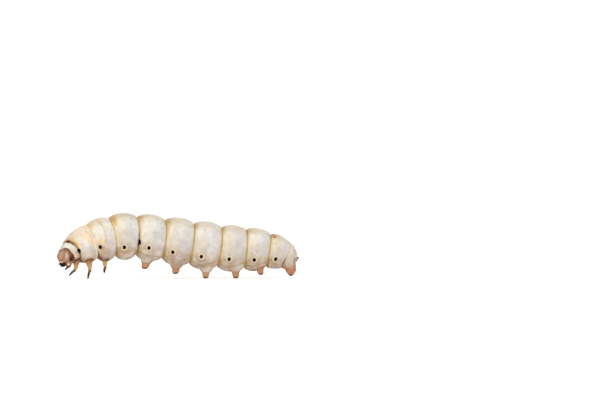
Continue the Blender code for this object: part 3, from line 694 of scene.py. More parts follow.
def buildSkin(rows):
    t = np.arange(skinPlan["columns"]) / skinPlan["columns"]
    angle = 360 * t + skinPlan["bellyDensity"] * np.sin(2 * math.pi * t)
    turn = np.where(angle > 180, angle - 360, angle)          # 0 on the back, + to the left
    arc = np.radians(angle)

    def column(key):
        return np.array([row[key] for row in rows], dtype=float)[:, None] + 0 * turn

    forward = np.array([row["forward"] for row in rows])
    left = np.cross([0, 0, 1], forward)
    left /= np.linalg.norm(left, axis=1)[:, None]
    up = np.cross(forward, left)
    tall = np.where(np.cos(arc) > 0, column("high"), column("low"))
    offset = (up[:, None, :] * (np.cos(arc) * tall)[..., None]
              + left[:, None, :] * (np.sin(arc) * column("wide"))[..., None])
    base = np.array([row["centre"] for row in rows])[:, None, :] + offset
    reach = np.linalg.norm(offset, axis=2)
    out = offset / np.maximum(reach, 1e-6)[..., None]
    segment, u, length, lip = column("segment"), column("u"), column("length"), column("lip")
    away = np.abs(turn) + 0 * u
    body = 1 - lip
    place = segment + u
    after = np.where(segment > 0, u * length, farOff)            # behind the furrow in front
    before = np.where(segment < 10, (1 - u) * length, farOff)    # in front of the furrow behind
    near = np.minimum(after, before)
    abdomen = (segment > 2) * (segment < 10)
    blank = np.zeros(near.shape)

    def band(title):
        return ease(*skinPlan["bands"][title], away)

    # relief, outwards along each ring
    ringAt = np.clip(np.where(after < before, segment, segment + 1), 0, 10).astype(int)
    creaseShare = np.array(skinPlan["creaseShare"])[ringAt]
    crease = creaseShare * bump(near, skinPlan["creaseWidth"])
    relief = -skinPlan["inset"] - skinPlan["crease"] * crease
    lastRing = np.where(segment == 9, before, np.where(segment == 10, after, farOff))
    relief += skinPlan["tailFill"] * bump(lastRing, skinPlan["tailFillReach"]) * band("tailFill")
    relief -= skinPlan["tailDraw"] * (segment == 10) * ease(*skinPlan["tailDrawSpan"], u) * band("tailDraw")
    foldShade = blank
    crestHigh, crestAt, crestWide = skinPlan["crest"]
    for fold in skinPlan["folds"]:
        here = segment == fold["segment"]
        scale = float(length[here].mean())
        girth = float(reach[here].mean()) * math.pi / 180
        path = [(share * scale, at * girth) for share, at in fold["path"]]
        gap = pathDistance(u * length, away * girth, path)
        relief -= here * fold["depth"] * bump(gap, fold["width"])
        relief += here * crestHigh * bump(gap - crestAt, crestWide)
        # painted shade along each fold
        foldShade = np.maximum(foldShade, here * fold["dark"] * bump(gap, fold["width"] * 0.8))
    deep, saddleAt, saddleWide = skinPlan["saddle"]
    relief -= deep * bump(u - saddleAt, saddleWide) * (1 - band("saddle")) * abdomen

    def rippleOf(size, aside):
        return np.array([[noise.noise(Vector(p) * size + Vector(aside)) for p in line] for line in base])

    fine = rippleOf(skinPlan["fineSize"], (7, 3, 1))
    ripple = skinPlan["ripple"] * rippleOf(skinPlan["rippleSize"], (0, 0, 0)) + skinPlan["fineRipple"] * fine
    relief += ripple * np.where(segment == 10, 1 - ease(*skinPlan["tailCalm"], u), 1.0)

    holes, ringed, holeShade, dash = holeMarks(rows, base)
    for (high, at, width), apart in zip(spiraclePlan["rings"], (holes, ringed, ringed)):
        relief += high * bump(apart - at, width)
    swell, legShade = legMarks(base)
    lowSide = away > legPlan["swellFrom"]
    relief += swell * lowSide
    points = base + out * (relief * body)[..., None]

    # prolegs drawn down out of the belly
    foot, sole, pleat = blank, blank, blank
    for side in (-1, 1):
        for plan in prolegPlan["feet"] + [prolegPlan["anal"]]:
            points, found = drawFoot(points, away, plan, side, plan is prolegPlan["anal"])
            foot, sole, pleat = (np.maximum(a, b) for a, b in zip((foot, sole, pleat), found))

    # tones
    trunk = body * (segment > 0)
    rear = np.where(segment == 2, 0.0, 1.0)
    firstRing = np.where(segment == 0, before, np.where(segment == 1, after, farOff))
    spots = spotMarks(rows, base, segment)
    spots["black"] = np.maximum(spots["black"], ease(*spiraclePlan["dark"], holes))
    for at, along, round in skinPlan["seamSpots"]:
        spots["black"] = np.maximum(spots["black"], bump(firstRing, along) * bump(turn - at, round))

    def dabs(stops, around):
        laid = blank
        for at, angleAt, along, round, strength in stops:
            laid = np.maximum(laid, strength * bump(place - at, along) * bump(around - angleAt, round))
        return laid * body

    def fade(title, front=1.0):
        behind, ahead, share = skinPlan["fades"][title]
        return (np.exp(-after / behind) + share * front * np.exp(-before / ahead)) * trunk

    def stripe(title):
        at, width = skinPlan["stripes"][title]
        return bump(away - at, width)

    anal, rump = tailMarks(points, fine)
    seam = np.maximum(*[share * bump(firstRing - at, width) for at, width, share in skinPlan["seamLines"]])
    jointFrom, jointTo, jointWide, jointShare = skinPlan["jointLine"]
    coolAt, coolReach = skinPlan["coolAt"]
    haloAt, haloWide = spiraclePlan["halo"]
    masks = {
        "furrow": crease * body * np.where(segment == 0, skinPlan["firstFurrow"], 1.0)
        * ((segment != 2) | (before >= after)),
        "glow": fade("glow", rear) * creaseShare,
        "notch": fade("notch", rear) * (1 - band("back")) * (segment < 10) * creaseShare,
        "underNotch": fade("underNotch") * band("underside"),
        "shoulder": stripe("shoulder") * (segment < 10) * trunk
        * np.where(segment > 2, 1.0, skinPlan["frontShoulder"]),
        # under, flank and belly: painted shade, darker step by step towards the underside, with some real
        # brown on the belly
        "under": band("under") * abdomen,
        # painted highlight along the upper flank
        "bright": stripe("bright") * trunk,
        "flank": band("flank"),
        "belly": band("belly"),
        # painted shade round each leg root, with some real brown
        "legRootShade": legShade * lowSide * body,
        "cool": bump(u - coolAt, coolReach) * stripe("cool") * abdomen,
        # painted shadow where the collar meets the head
        "neck": np.maximum(lip, bump(u, skinPlan["neckShadowLine"]) * (segment == 0))
        * (1 - skinPlan["neckShadowFade"] * ease(*skinPlan["neckShadowFar"], -turn)),
        "halo": bump(ringed - haloAt, haloWide),
        "haloShade": holeShade, "dash": dash, "fold": foldShade,
        "foot": foot, "pleat": pleat, "sole": sole,
        "anal": anal * (segment == 10),
        "rump": rump * (segment == 10),
        "seam": seam * band("seam") * (segment == 1),
        "jointLine": jointShare * bump(near, jointWide) * stripe("jointLine")
        * ((place > jointFrom) & (place < jointTo)),
        "station": place,
    }
    masks.update(spots)
    masks.update({title: dabs(stops, away) for title, stops in skinPlan["patches"].items()})
    # the tan mask also takes painted shade along the top edge of the back
    masks["tan"] = np.maximum(masks["tan"], dabs(skinPlan["ridgeShade"], turn))
    skin = wrapGrid("skin", points, masks)
    print("skin", len(skin.data.vertices), "points")
    return skin


prolegPlan = {
    # sole height, how far the root lies behind the sole, and how thick the foot is
    "feet": [
        {"name": "proleg_1", "x": -3.56, "sole": 1.00, "shift": 0.40, "girth": 1.08},
        {"name": "proleg_2", "x": -0.33, "sole": 0.46, "shift": 0.18, "girth": 1.0},
        {"name": "proleg_3", "x": 2.84, "sole": 0.00, "shift": 0.12, "girth": 0.92},
        {"name": "proleg_4", "x": 6.03, "sole": 0.00, "shift": -0.04, "girth": 0.93},
        {"name": "proleg_5", "x": 8.67, "sole": 0.34, "shift": -0.12, "girth": 0.9},
    ],
    "spread": 1.05, "lean": 0.12, "rootShare": 0.75, "rightBehind": 0.16, "flatness": 0.74,
    "from": 92,                 # no skin nearer the back than this is drawn down
    "blendSpan": (0.62, 1.0), "girthSpan": (0.55, 1.0), "squashSpan": (0.35, 1.0), "hubSpan": (0.1, 1.0),
    "wrinkle": 0.010, "wrinkles": 30, "wrinkleSpan": (0.12, 0.3),
    "tone": (0.86, 0.42), "analTone": (0.90, 0.46), "soleTone": (0.27, 0.03), "pleat": (0.58, 0.06),
    "form": [(0.00, 0.0), (0.00, 0.10), (0.015, 0.165), (0.045, 0.23), (0.09, 0.29), (0.15, 0.335),
             (0.24, 0.37), (0.36, 0.392), (0.50, 0.402), (0.60, 0.44), (0.70, 0.56), (0.82, 0.72),
             (1.08, 0.95), (1.50, 1.07)],
    "anal": {"name": "anal_proleg", "x": 11.86, "sole": 0.21, "shift": 0.0, "girth": 1.0},
    "analSpread": 0.62, "analLean": 0.05,
    "analForm": [(0.00, 0.0), (0.00, 0.08), (0.03, 0.15), (0.09, 0.23), (0.20, 0.32), (0.38, 0.45),
                 (0.62, 0.61), (1.00, 0.71), (1.45, 0.76)],
}


def drawFoot(points, away, plan, side, anal):
    # pulls the belly round a foot's axis down onto the foot's profile
    form = prolegPlan["analForm" if anal else "form"]
    spread = prolegPlan["analSpread" if anal else "spread"]
    lean = prolegPlan["analLean" if anal else "lean"]
    flatness = prolegPlan["flatness"]
    heights = np.array([h for h, r in form])
    radii = np.array([r for h, r in form])
    radii = radii * mix(plan["girth"], 1.0, ease(*prolegPlan["girthSpan"], heights))
    arc = np.concatenate([[0], np.cumsum(np.hypot(np.diff(heights), np.diff(radii)))])
    behind = prolegPlan["rightBehind"] if side > 0 else 0.0
    soleAt = np.array((plan["x"] + behind, side * spread))
    rootAt = soleAt + np.array((plan["shift"], -side * lean)) * prolegPlan["rootShare"]
    dx = points[..., 0] - rootAt[0]
    dy = points[..., 1] - rootAt[1]
    under = away > prolegPlan["from"]
    apart = np.where(under, np.hypot(dx, dy), 99)
    seat = np.unravel_index(np.argmin(apart), apart.shape)
    lift = points[seat][2] - plan["sole"]
    meet = float(np.interp(lift, heights[1:], radii[1:]))
    fullArc = float(np.interp(lift, heights[1:], arc[1:]))
    ring = np.hypot(dx / meet, dy / (meet * flatness))
    inside = under & (ring < 1)
    t = np.clip(ring, 0, 1)
    radius = np.interp(t * fullArc, arc, radii)
    height = np.interp(t * fullArc, arc, heights)
    squash = mix(1.0, flatness, ease(*prolegPlan["squashSpan"], t))
    direction = np.stack([dx / meet, dy / (meet * flatness)], axis=-1) / np.maximum(ring, 1e-6)[..., None]
    hub = mix(soleAt, rootAt, ease(*prolegPlan["hubSpan"], t)[..., None])
    blendUp = ease(*prolegPlan["blendSpan"], t)
    wrinkle = prolegPlan["wrinkle"] * np.sin(height * prolegPlan["wrinkles"])
    wrinkle *= ease(*prolegPlan["wrinkleSpan"], height) * (1 - blendUp)
    newX = hub[..., 0] + direction[..., 0] * (radius + wrinkle)
    newY = hub[..., 1] + direction[..., 1] * (radius * squash + wrinkle)
    newZ = mix(plan["sole"] + height, points[..., 2], blendUp)
    moved = np.where(inside[..., None], np.stack([newX, newY, newZ], axis=-1), points)
    footMask = inside * ease(*prolegPlan["analTone" if anal else "tone"], height)
    soleMask = inside * ease(*prolegPlan["soleTone"], height)
    pleatAt, pleatWide = prolegPlan["pleat"]
    pleatMask = inside * bump(height - pleatAt, pleatWide) * (0.0 if anal else 1.0)
    return moved, (footMask, soleMask, pleatMask)


skinTones = {
    "ivory": (234, 225, 211),
    # coats in the order they are laid, named after their masks: picture colour and strength
    "under": {
        # the pale coat laid after flank is a painted highlight along the upper flank
        "flank": ((215, 204, 189), 0.9), "bright": ((248, 241, 226), 0.6),
        "shoulder": ((226, 207, 172), 0.6), "cool": ((196, 198, 208), 0.55),
        # flank above, belly and under: painted shade, darker step by step towards the underside, with some
        # real brown on the belly
        "belly": ((174, 150, 127), 0.92), "under": ((130, 104, 78), 0.9),
        # the pearly white coat is partly a painted highlight
        "pearl": ((236, 230, 228), 0.8), "lilac": ((202, 194, 204), 0.8),
        # the cream coat is partly painted light on the collar
        "cream": ((255, 244, 224), 0.9), "pink": ((248, 196, 178), 1.3),
        "honey": ((252, 220, 166), 1.5), "apricot": ((252, 200, 138), 1.7),
        # the tan coat also carries painted shade along the top of the back
        "ochre": ((206, 162, 84), 1.5), "tan": ((184, 142, 98), 1.0),
    },
    # large clouds, then fine ones: colour, channel of the noise, where it starts and is full, how strong
    "clouds": {"pale": ((248, 244, 238), 0.48, 0.68, 0.45), "dusk": ((196, 178, 158), 0.46, 0.30, 0.35)},
    "mottle": {
        "mist": ((216, 214, 222), 0, 0.50, 0.70, 0.40), "straw": ((238, 222, 176), 1, 0.50, 0.70, 0.30),
        "smoke": ((176, 162, 146), 2, 0.55, 0.75, 0.40),
    },
    "over": {
        "halo": ((244, 220, 186), 0.75), "glow": ((228, 202, 144), 0.72), "notch": ((182, 140, 76), 0.92),
        "underNotch": ((136, 104, 60), 1.1), "haloShade": ((156, 130, 104), 0.55),
        # the fold coat is painted shade along the flank folds
        "dash": ((132, 112, 98), 0.9), "fold": ((164, 132, 92), 1.2), "foot": ((194, 136, 92), 0.9),
        "anal": ((184, 124, 90), 0.9), "rump": ((142, 92, 62), 0.9), "pleat": ((142, 100, 66), 0.7),
        # the dark coat at the neck is painted shadow under the head
        "sole": ((68, 40, 20), 1.15), "furrow": ((198, 170, 108), 0.8), "neck": ((74, 42, 28), 1.0),
        # the brown round each leg root is painted shade, with some real brown
        "seam": ((98, 72, 30), 1.15), "legRootShade": ((124, 74, 40), 1.8), "olive": ((116, 94, 44), 2.0),
        # the deep brown coat is partly painted shade round the legs
        "umber": ((96, 56, 26), 2.2), "jointLine": ((86, 52, 26), 0.9), "brown": ((86, 52, 26), 1.6),
        "black": ((20, 6, 3), 2.2),
    },
    "softness": 0.10, "softRadius": (1.0, 0.6, 0.38), "softScale": 0.00035,
    "grain": (1500.0, 9000.0), "cloudScale": 480.0, "mottleScale": 1900.0, "gloss": (0.34, 0.50, 0.2),
    "wrinkle": 2.0, "wrinkles": 17.0, "wander": 5.0, "pores": 0.4, "crumple": 5.0,
}


def skinMaterial(grain):
    made, tree, shader = newMaterial("ivorySkin")
    specks = placeGrain(tree, grain, *skinTones["grain"])
    place = addNode(tree, "ShaderNodeTexCoord").outputs["Object"]
    patches = addNode(tree, "ShaderNodeTexNoise", {"Vector": place, "Scale": skinTones["cloudScale"],
                                                    "Detail": 2.0}).outputs["Fac"]
    tone = layCoats(tree, toneOf(skinTones["ivory"]), skinTones["under"])
    for rgb, low, high, share in skinTones["clouds"].values():
        tone = layTone(tree, tone, toneOf(rgb), stretch(tree, patches, low, high, 0.0, share))
    cloud = addNode(tree, "ShaderNodeTexNoise", {"Vector": place, "Scale": skinTones["mottleScale"],
                                                  "Detail": 3.0})
    hues = addNode(tree, "ShaderNodeSeparateColor", {"Color": cloud.outputs["Color"]})
    for rgb, channel, low, high, share in skinTones["mottle"].values():
        amount = stretch(tree, hues.outputs[channel], low, high, 0.0, share)
        tone = layTone(tree, tone, toneOf(rgb), amount)
    tone = layCoats(tree, tone, skinTones["over"])
    dust = stretch(tree, specks.outputs["Mottle"], 0.32, 0.68, 0.90, 1.05)
    tree.links.new(layTone(tree, tone, dust, 1.0, "MULTIPLY"), shader.inputs["Base Color"])
    addGloss(tree, shader, specks, *skinTones["gloss"])

    # fine wrinkles that run round the body
    along = times(tree, maskOf(tree, "station"), skinTones["wrinkles"])
    lineAt = plus(tree, along, times(tree, patches, skinTones["wander"]))
    wrinkle = addNode(tree, "ShaderNodeTexNoise", {"W": lineAt, "Scale": 1.6, "Detail": 4.0},
                      noise_dimensions="1D").outputs["Fac"]
    crumple = plus(tree, times(tree, specks.outputs["Height"], skinTones["pores"]),
                   times(tree, cloud.outputs["Fac"], skinTones["crumple"]))
    height = plus(tree, times(tree, wrinkle, skinTones["wrinkle"]), crumple)
    addBump(tree, shader, height, 0.5, 0.00003)
    shader.inputs["Subsurface Weight"].default_value = skinTones["softness"]
    shader.inputs["Subsurface Radius"].default_value = skinTones["softRadius"]
    shader.inputs["Subsurface Scale"].default_value = skinTones["softScale"]
    return made


# Breathing holes

spiraclePlan = {
    "firstLarger": 1.1,
    "places": {0: (0.99, 81), 2: (0.15, 108), 3: (0.39, 117), 4: (0.46, 116), 5: (0.39, 118),
               6: (0.37, 117.5), 7: (0.37, 117.5), 8: (0.35, 117.5), 9: (0.47, 113)},
    "high": 0.215, "wide": 0.17, "sunk": 0.012,
    "rim": [(1.10, -0.06), (1.08, 0.0), (1.0, 0.035), (0.86, 0.05), (0.72, 0.04), (0.62, 0.005),
            (0.5, -0.03)],
    "plate": [(0.66, -0.05), (0.64, 0.012), (0.50, 0.026), (0.26, 0.03), (0.13, 0.018), (0.06, 0.002)],
    # the skin round a hole: dent, cushion and moat as height, distance and width
    "rings": [(-0.03, 0.0, 0.20), (0.018, 0.33, 0.10), (-0.012, 0.47, 0.07)],
    "firstRinged": 3, "dark": (0.15, 0.08), "halo": (0.27, 0.085),
    "shade": (0.45, 0.055), "shadeLean": 0.4,
    "dashAhead": (0.52, 0, 0.07), "dashShape": (0.42, 0.42, 1.2), "dashSize": 0.085,
}


def modelButton(name, steps):
    # a disc drawn out step by step; each step is a size and a height in mm
    deselectAll()
    bpy.ops.mesh.primitive_circle_add(vertices=24, radius=steps[0][0], fill_type="NGON",
                                      location=(0, 0, steps[0][1]))
    piece = bpy.context.object
    piece.name = name
    bpy.ops.object.transform_apply(location=True, rotation=False, scale=False)
    bpy.ops.object.mode_set(mode="EDIT")
    bpy.ops.mesh.select_all(action="SELECT")
    for (before, low), (after, high) in zip(steps, steps[1:]):
        bpy.ops.mesh.extrude_region_move(TRANSFORM_OT_translate={"value": (0, 0, high - low)})
        bpy.ops.transform.resize(value=(after / before, after / before, 1),
                                 center_override=(0, 0, high))
    closeMesh()
    return piece


def buildSpiracles(rows):
    plan = spiraclePlan
    places = []
    for index, (share, at) in plan["places"].items():
        for side in (1, -1):
            row = rowAt(rows, index, share)
            spot = sectionPoint(row, side * at)
            upward = (sectionPoint(row, side * (at - 2)) - sectionPoint(row, side * (at + 2))).normalized()
            out = row["forward"].cross(upward).normalized()
            if out.dot(spot - row["centre"]) < 0:
                out = -out
            along = upward.cross(out)
            if index == 0:
                upward, along = upward * plan["firstLarger"], along * plan["firstLarger"]
            places.append(frameOf(spot - out * plan["sunk"], upward * plan["high"],
                                  along * plan["wide"] * (1 if upward.cross(along).dot(out) > 0 else -1),
                                  out))
    return (stampCopies("spiracleRims", modelButton("rim", plan["rim"]), places),
            stampCopies("spiraclePlates", modelButton("plate", plan["plate"]), places))


# Legs

legPlan = {
    "radii": {"root": 0.36, "flare": 0.36, "upper": 0.275, "knee": 0.215, "shin": 0.175, "ankle": 0.165,
              "heel": 0.155, "claw": 0.125, "hook": 0.09},
    "bow": 0.04,
    # stops along a leg: between which places, share of the way, share of the bow, radius
    "stops": [("root", "knee", 0.0, 0, "root"), ("root", "knee", 0.50, 0, "flare"),
              ("root", "knee", 0.78, 0, "upper"), ("root", "knee", 1.0, 0, "knee"),
              ("knee", "ankle", 0.55, 0, "shin"), ("knee", "ankle", 1.0, 0, "ankle"),
              ("ankle", "tip", 0.16, 0.5, "heel"), ("ankle", "tip", 0.45, 1.0, "claw"),
              ("ankle", "tip", 0.78, 0.7, "hook")],
    "flatTip": [(0.05, 0.062), (0.0, 0.055)],        # height over the floor and radius
    "nearTip": (0.93, 0.25, 0.7), "sharpTip": 0.025,
    "pinches": ((3.55, 0.10, 0.10), (5.3, 0.12, 0.12)),
    "swell": (0.09, 0.42), "shade": (0.36, 0.13), "swellFrom": 60,    # the skin round each root
    "tones": [(0.0, (120, 72, 36)), (0.12, (176, 128, 84)), (0.22, (208, 166, 116)),
              (0.40, (208, 164, 108)), (0.47, (174, 130, 82)), (0.50, (74, 42, 20)), (0.545, (78, 46, 24)),
              (0.60, (166, 126, 82)), (0.66, (88, 50, 24)), (0.80, (62, 34, 20)), (1.0, (30, 17, 12))],
    "legs": [
        {"name": "leg_1_left", "root": (-10.80, -2.15, 2.30), "knee": (-10.90, -2.50, 1.17),
         "ankle": (-11.09, -2.62, 0.88), "tip": (-11.64, -2.85, 0.36), "girth": 0.92},
        {"name": "leg_1_right", "root": (-11.45, -1.60, 2.20), "knee": (-11.46, -1.84, 1.55),
         "ankle": (-11.55, -1.90, 1.35), "tip": (-12.02, -2.12, 0.92), "girth": 0.9},
        {"name": "leg_2_left", "root": (-9.56, -1.30, 2.40), "knee": (-9.38, -1.60, 1.22),
         "ankle": (-9.38, -1.65, 0.86), "tip": (-9.57, -1.70, 0.0), "girth": 1.04, "stands": True},
        {"name": "leg_2_right", "root": (-9.45, -0.55, 2.40), "knee": (-9.27, -0.40, 1.22),
         "ankle": (-9.27, -0.36, 0.86), "tip": (-9.46, -0.35, 0.0), "girth": 1.04, "stands": True},
        {"name": "leg_3_left", "root": (-7.74, -0.80, 2.60), "knee": (-7.74, -1.02, 1.46),
         "ankle": (-7.71, -1.06, 1.17), "tip": (-7.78, -1.10, 0.57), "girth": 0.95},
        {"name": "leg_3_right", "root": (-7.66, -0.10, 2.60), "knee": (-7.64, 0.08, 1.46),
         "ankle": (-7.64, 0.10, 1.15), "tip": (-7.75, 0.12, 0.59), "girth": 0.92},
    ],
}


def buildLeg(leg):
    radii = {key: value * leg["girth"] for key, value in legPlan["radii"].items()}
    at = {key: Vector(leg[key]) for key in ("root", "knee", "ankle", "tip")}
    bow = (at["ankle"] - at["tip"]).cross(Vector((0, 1, 0))).normalized() * legPlan["bow"]
    stops = [(at[start].lerp(at[end], share) + bow * bend, radii[size])
             for start, end, share, bend, size in legPlan["stops"]]
    if leg.get("stands", False):
        stops += [(at["tip"] + Vector((0, 0, lift)), radius) for lift, radius in legPlan["flatTip"]]
    else:
        share, bend, thin = legPlan["nearTip"]
        stops += [(at["ankle"].lerp(at["tip"], share) + bow * bend, radii["hook"] * thin),
                  (at["tip"], legPlan["sharpTip"])]
    return buildTube(leg["name"] + "_shell", stops, pinches=legPlan["pinches"])


def legMaterial(grain, name, tones):
    made, tree, shader = newMaterial(name)
    specks = placeGrain(tree, grain, 1500.0, 14000.0)
    ramp = addNode(tree, "ShaderNodeValToRGB", {"Fac": maskOf(tree, "along")})
    stops = ramp.color_ramp.elements
    while len(stops) < len(tones):
        stops.new(0.5)
    for stop, (at, rgb) in zip(stops, tones):
        stop.position = at
        stop.color = toneOf(rgb)
    dust = stretch(tree, specks.outputs["Mottle"], 0.35, 0.65, 0.80, 1.1)
    tree.links.new(layTone(tree, ramp.outputs["Color"], dust, 1.0, "MULTIPLY"), shader.inputs["Base Color"])
    shader.inputs["Roughness"].default_value = 0.35
    shader.inputs["Specular IOR Level"].default_value = 0.15
    addBump(tree, shader, specks.outputs["Height"], 0.25, 0.00001)
    return made


# Head

headPlan = {
    "centre": (-12.08, -3.10, 2.41), "pitch": 15, "yaw": 71, "roll": 7,
    "deep": 0.82, "wide": 0.80, "high": 0.92, "columns": 120, "rows": 76,
    "taper": 0.19, "taperSpan": (-0.20, 0.95),      # how much narrower the crown is than the cheeks
    "faceSpan": (-0.1, 0.3),                        # where the face starts and is full, going forward
    "seamAside": 0.12,          # the seam of the face lies a little to the left
    "groove": 0.06, "grooveWidth": 0.07,
    "fork": 0.02, "forkSpan": (-0.10, 0.12),
    "fronsHalf": 0.30, "fronsFoot": -0.52, "fronsCurve": 0.8, "fronsDepth": 0.012,
    "fronsTop": (-0.06, 0.06), "fronsEnd": (1.25, 1.05), "fronsEdge": (0.05, -0.03),
    "chin": -0.74, "chinFall": 0.10,
    "lineWidth": 0.04, "lineDepth": 0.02, "cheek": (0.72, 0.24, -0.15, 0.42), "cheekSwell": 0.02,
    # the olive stripe just beside the groove is painted shade on the groove's side
    "stripe": (0.05, 0.12), "stripeSpan": (-0.16, 0.10), "marginSpan": (0.72, 0.98),
    # the rim values place a painted shadow round the back of the head, where it sits in the collar
    "rimShadeSpan": (0.26, 0.04), "rimShadeSide": (-0.75, -0.2),
    # marks: place aside and its reach, height and its reach, strength left and right, face only
    "marks": {
        # the first mark, on the upper lobes, is a painted highlight, stronger on the left
        "lobeHighlight": (0.42, 0.20, 0.34, 0.40, 1.0, 0.35, True), "lowFace": (0.44, 0.26, -0.42, 0.24, 1, 1, True),
        "bloom": (0.24, 0.12, -0.30, 0.12, 1, 1, True), "pits": (0.20, 0.08, -0.25, 0.08, 0.35, 1, True),
        "cheek": (0.93, 0.13, -0.17, 0.20, 1, 1, False), "jowl": (0.95, 0.17, -0.02, 0.34, 1, 1, False),
    },
    "eyePolar": 72, "eyeAround": 92, "eyeRing": 0.14, "eyeRadius": 0.042, "eyes": 6,
    "firstEye": 35, "eyeArc": 250,
}


def inHead(place, roll=1.0):
    # place forward, left and up of the head's middle, in mm
    forward, left, up = ringAxes(headPlan["pitch"], headPlan["yaw"])
    lean = math.radians(headPlan["roll"]) * roll
    side = float(place[1]) * math.cos(lean) + float(place[2]) * math.sin(lean)
    rise = float(place[2]) * math.cos(lean) - float(place[1]) * math.sin(lean)
    return Vector(headPlan["centre"]) + forward * float(place[0]) + left * side + up * rise


def headFrame():
    middle = inHead((0, 0, 0))
    return frameOf(middle, inHead((1, 0, 0)) - middle, inHead((0, 1, 0)) - middle,
                   inHead((0, 0, 1)) - middle)


def dab(x, y=0.0):
    return math.exp(-x ** 2 - y ** 2)


def slide(low, high, value):
    return float(ease(low, high, value))


def capsulePoint(f, l, u):
    # unit direction forward, left, up to a place on the head capsule, and its markings
    plan = headPlan
    side = abs(l)
    fork = plan["fork"]
    slim = 1 - plan["taper"] * slide(*plan["taperSpan"], u)
    front = slide(*plan["faceSpan"], f)
    middle = l - plan["seamAside"] * front
    groove = dab(middle / plan["grooveWidth"]) * mix(1.0, slide(*plan["forkSpan"], u - fork), front)
    drop = (fork - u) / (fork - plan["fronsFoot"])
    arm = plan["fronsHalf"] * min(max(drop, 0.0), 1.0) ** plan["fronsCurve"]
    below = slide(*plan["fronsTop"], drop) * slide(*plan["fronsEnd"], drop) * front
    line = dab((side - arm) / plan["lineWidth"]) * below
    plate = slide(*plan["fronsEdge"], side - arm) * below
    at, wide, high, tall = plan["cheek"]
    cheek = dab((side - at) / wide, (u - high) / tall)
    size = (1 - plan["groove"] * groove - plan["lineDepth"] * line - plan["fronsDepth"] * plate
            + plan["cheekSwell"] * cheek)
    point = [plan["deep"] * f * size, plan["wide"] * l * size * slim, plan["high"] * u * size]
    point[2] = max(point[2], plan["chin"] - plan["chinFall"] * (1 - max(0.0, f)))
    stripeAt, stripeWide = plan["stripe"]
    marks = {
        # olive stripe just beside the groove: painted shade on the groove's side
        "stripe": dab((middle - stripeAt) / stripeWide) * slide(*plan["stripeSpan"], u - fork),
        "suture": line, "frons": plate,
        "margin": slide(*plan["marginSpan"], math.hypot(l, u)),
        # painted shadow round the back of the head, where it sits in the collar
        "rim": slide(*plan["rimShadeSpan"], f) * slide(*plan["rimShadeSide"], l),
    }
    for title, (at, wide, high, tall, leftShare, rightShare, faceOnly) in plan["marks"].items():
        mark = dab((side - at) / wide, (u - high) / tall) * (leftShare if l > 0 else rightShare)
        marks[title] = mark * (front if faceOnly else 1.0)
    return point, marks


def buildCapsule():
    deselectAll()
    bpy.ops.mesh.primitive_uv_sphere_add(segments=headPlan["columns"], ring_count=headPlan["rows"],
                                         radius=1, rotation=(0, math.pi / 2, 0))
    piece = bpy.context.object
    piece.name = "headShell"
    piece.data.name = "headShell"
    bpy.ops.object.transform_apply(location=False, rotation=True, scale=False)
    found = [capsulePoint(*vert.co) for vert in piece.data.vertices]
    for vert, (spot, marks) in zip(piece.data.vertices, found):
        vert.co = spot
    for title in found[0][1]:
        writeMask(piece, title, [marks[title] for spot, marks in found])
    piece.data.transform(headFrame())
    bpy.ops.object.shade_smooth()
    return piece


def headBall(name, at, half, dent=None):
    # a sphere resized to its half sizes, moved to its place in the head and dented
    deselectAll()
    bpy.ops.mesh.primitive_uv_sphere_add(segments=mouthPlan["columns"],
                                         ring_count=mouthPlan["rows"], radius=1)
    piece = bpy.context.object
    piece.name = name
    bpy.ops.object.mode_set(mode="EDIT")
    bpy.ops.transform.resize(value=half)
    bpy.ops.object.mode_set(mode="OBJECT")
    if dent:
        for vert in piece.data.vertices:
            dent(vert.co, half)
    bpy.ops.object.mode_set(mode="EDIT")
    bpy.ops.mesh.select_all(action="SELECT")
    bpy.ops.transform.translate(value=at)
    bpy.ops.object.mode_set(mode="OBJECT")
    piece.data.transform(headFrame())
    bpy.ops.object.shade_smooth()
    return piece


def notchLip(spot, half):
    # the upper lip is split in two lobes at its lower edge
    deep, wide = mouthPlan["notch"]
    low = max(0.0, -spot.z / half[2])
    spot.z += deep * half[2] * low * dab(spot.y / (wide * half[1]))


def cutTeeth(spot, half, side):
    # a jaw is boxy, ends in blunt teeth and rises to the outside, where side points
    deep, count = mouthPlan["teeth"]
    spot.y = math.copysign(half[1] * abs(spot.y / half[1]) ** mouthPlan["boxy"], spot.y)
    low = max(0.0, -spot.z / half[2])
    outer = max(0.0, side * spot.y / half[1])
    spot.z += half[2] * low * (deep * math.cos(count * spot.y / half[1]) + mouthPlan["jawRise"] * outer)
    spot.x *= 1 - mouthPlan["jawSlim"] * low


mouthPlan = {
    "columns": 28, "rows": 18,
    "clypeus": {"at": (0.60, -0.10, -0.38), "half": (0.20, 0.24, 0.15)},
    "labrum": {"at": (0.79, -0.16, -0.40), "half": (0.12, 0.19, 0.13)},
    "mandible": {"at": (0.60, 0.14, -0.66), "half": (0.18, 0.21, 0.34)},
    "labium": {"at": (0.14, 0.0, -0.84), "half": (0.20, 0.25, 0.18)},
    "palp": {"at": (0.19, 0.27, -0.86), "half": (0.11, 0.10, 0.16)},
    "spinneret": {"at": (0.20, 0.0, -0.94), "half": (0.07, 0.07, 0.13)},
    "aside": -0.06,             # the jaws lie a little to the right of the middle
    "notch": (0.55, 0.28),      # depth and width of the cleft in the upper lip, as shares of its half sizes
    "boxy": 0.72, "teeth": (0.10, 15), "jawRise": 0.55, "jawSlim": 0.25,
}


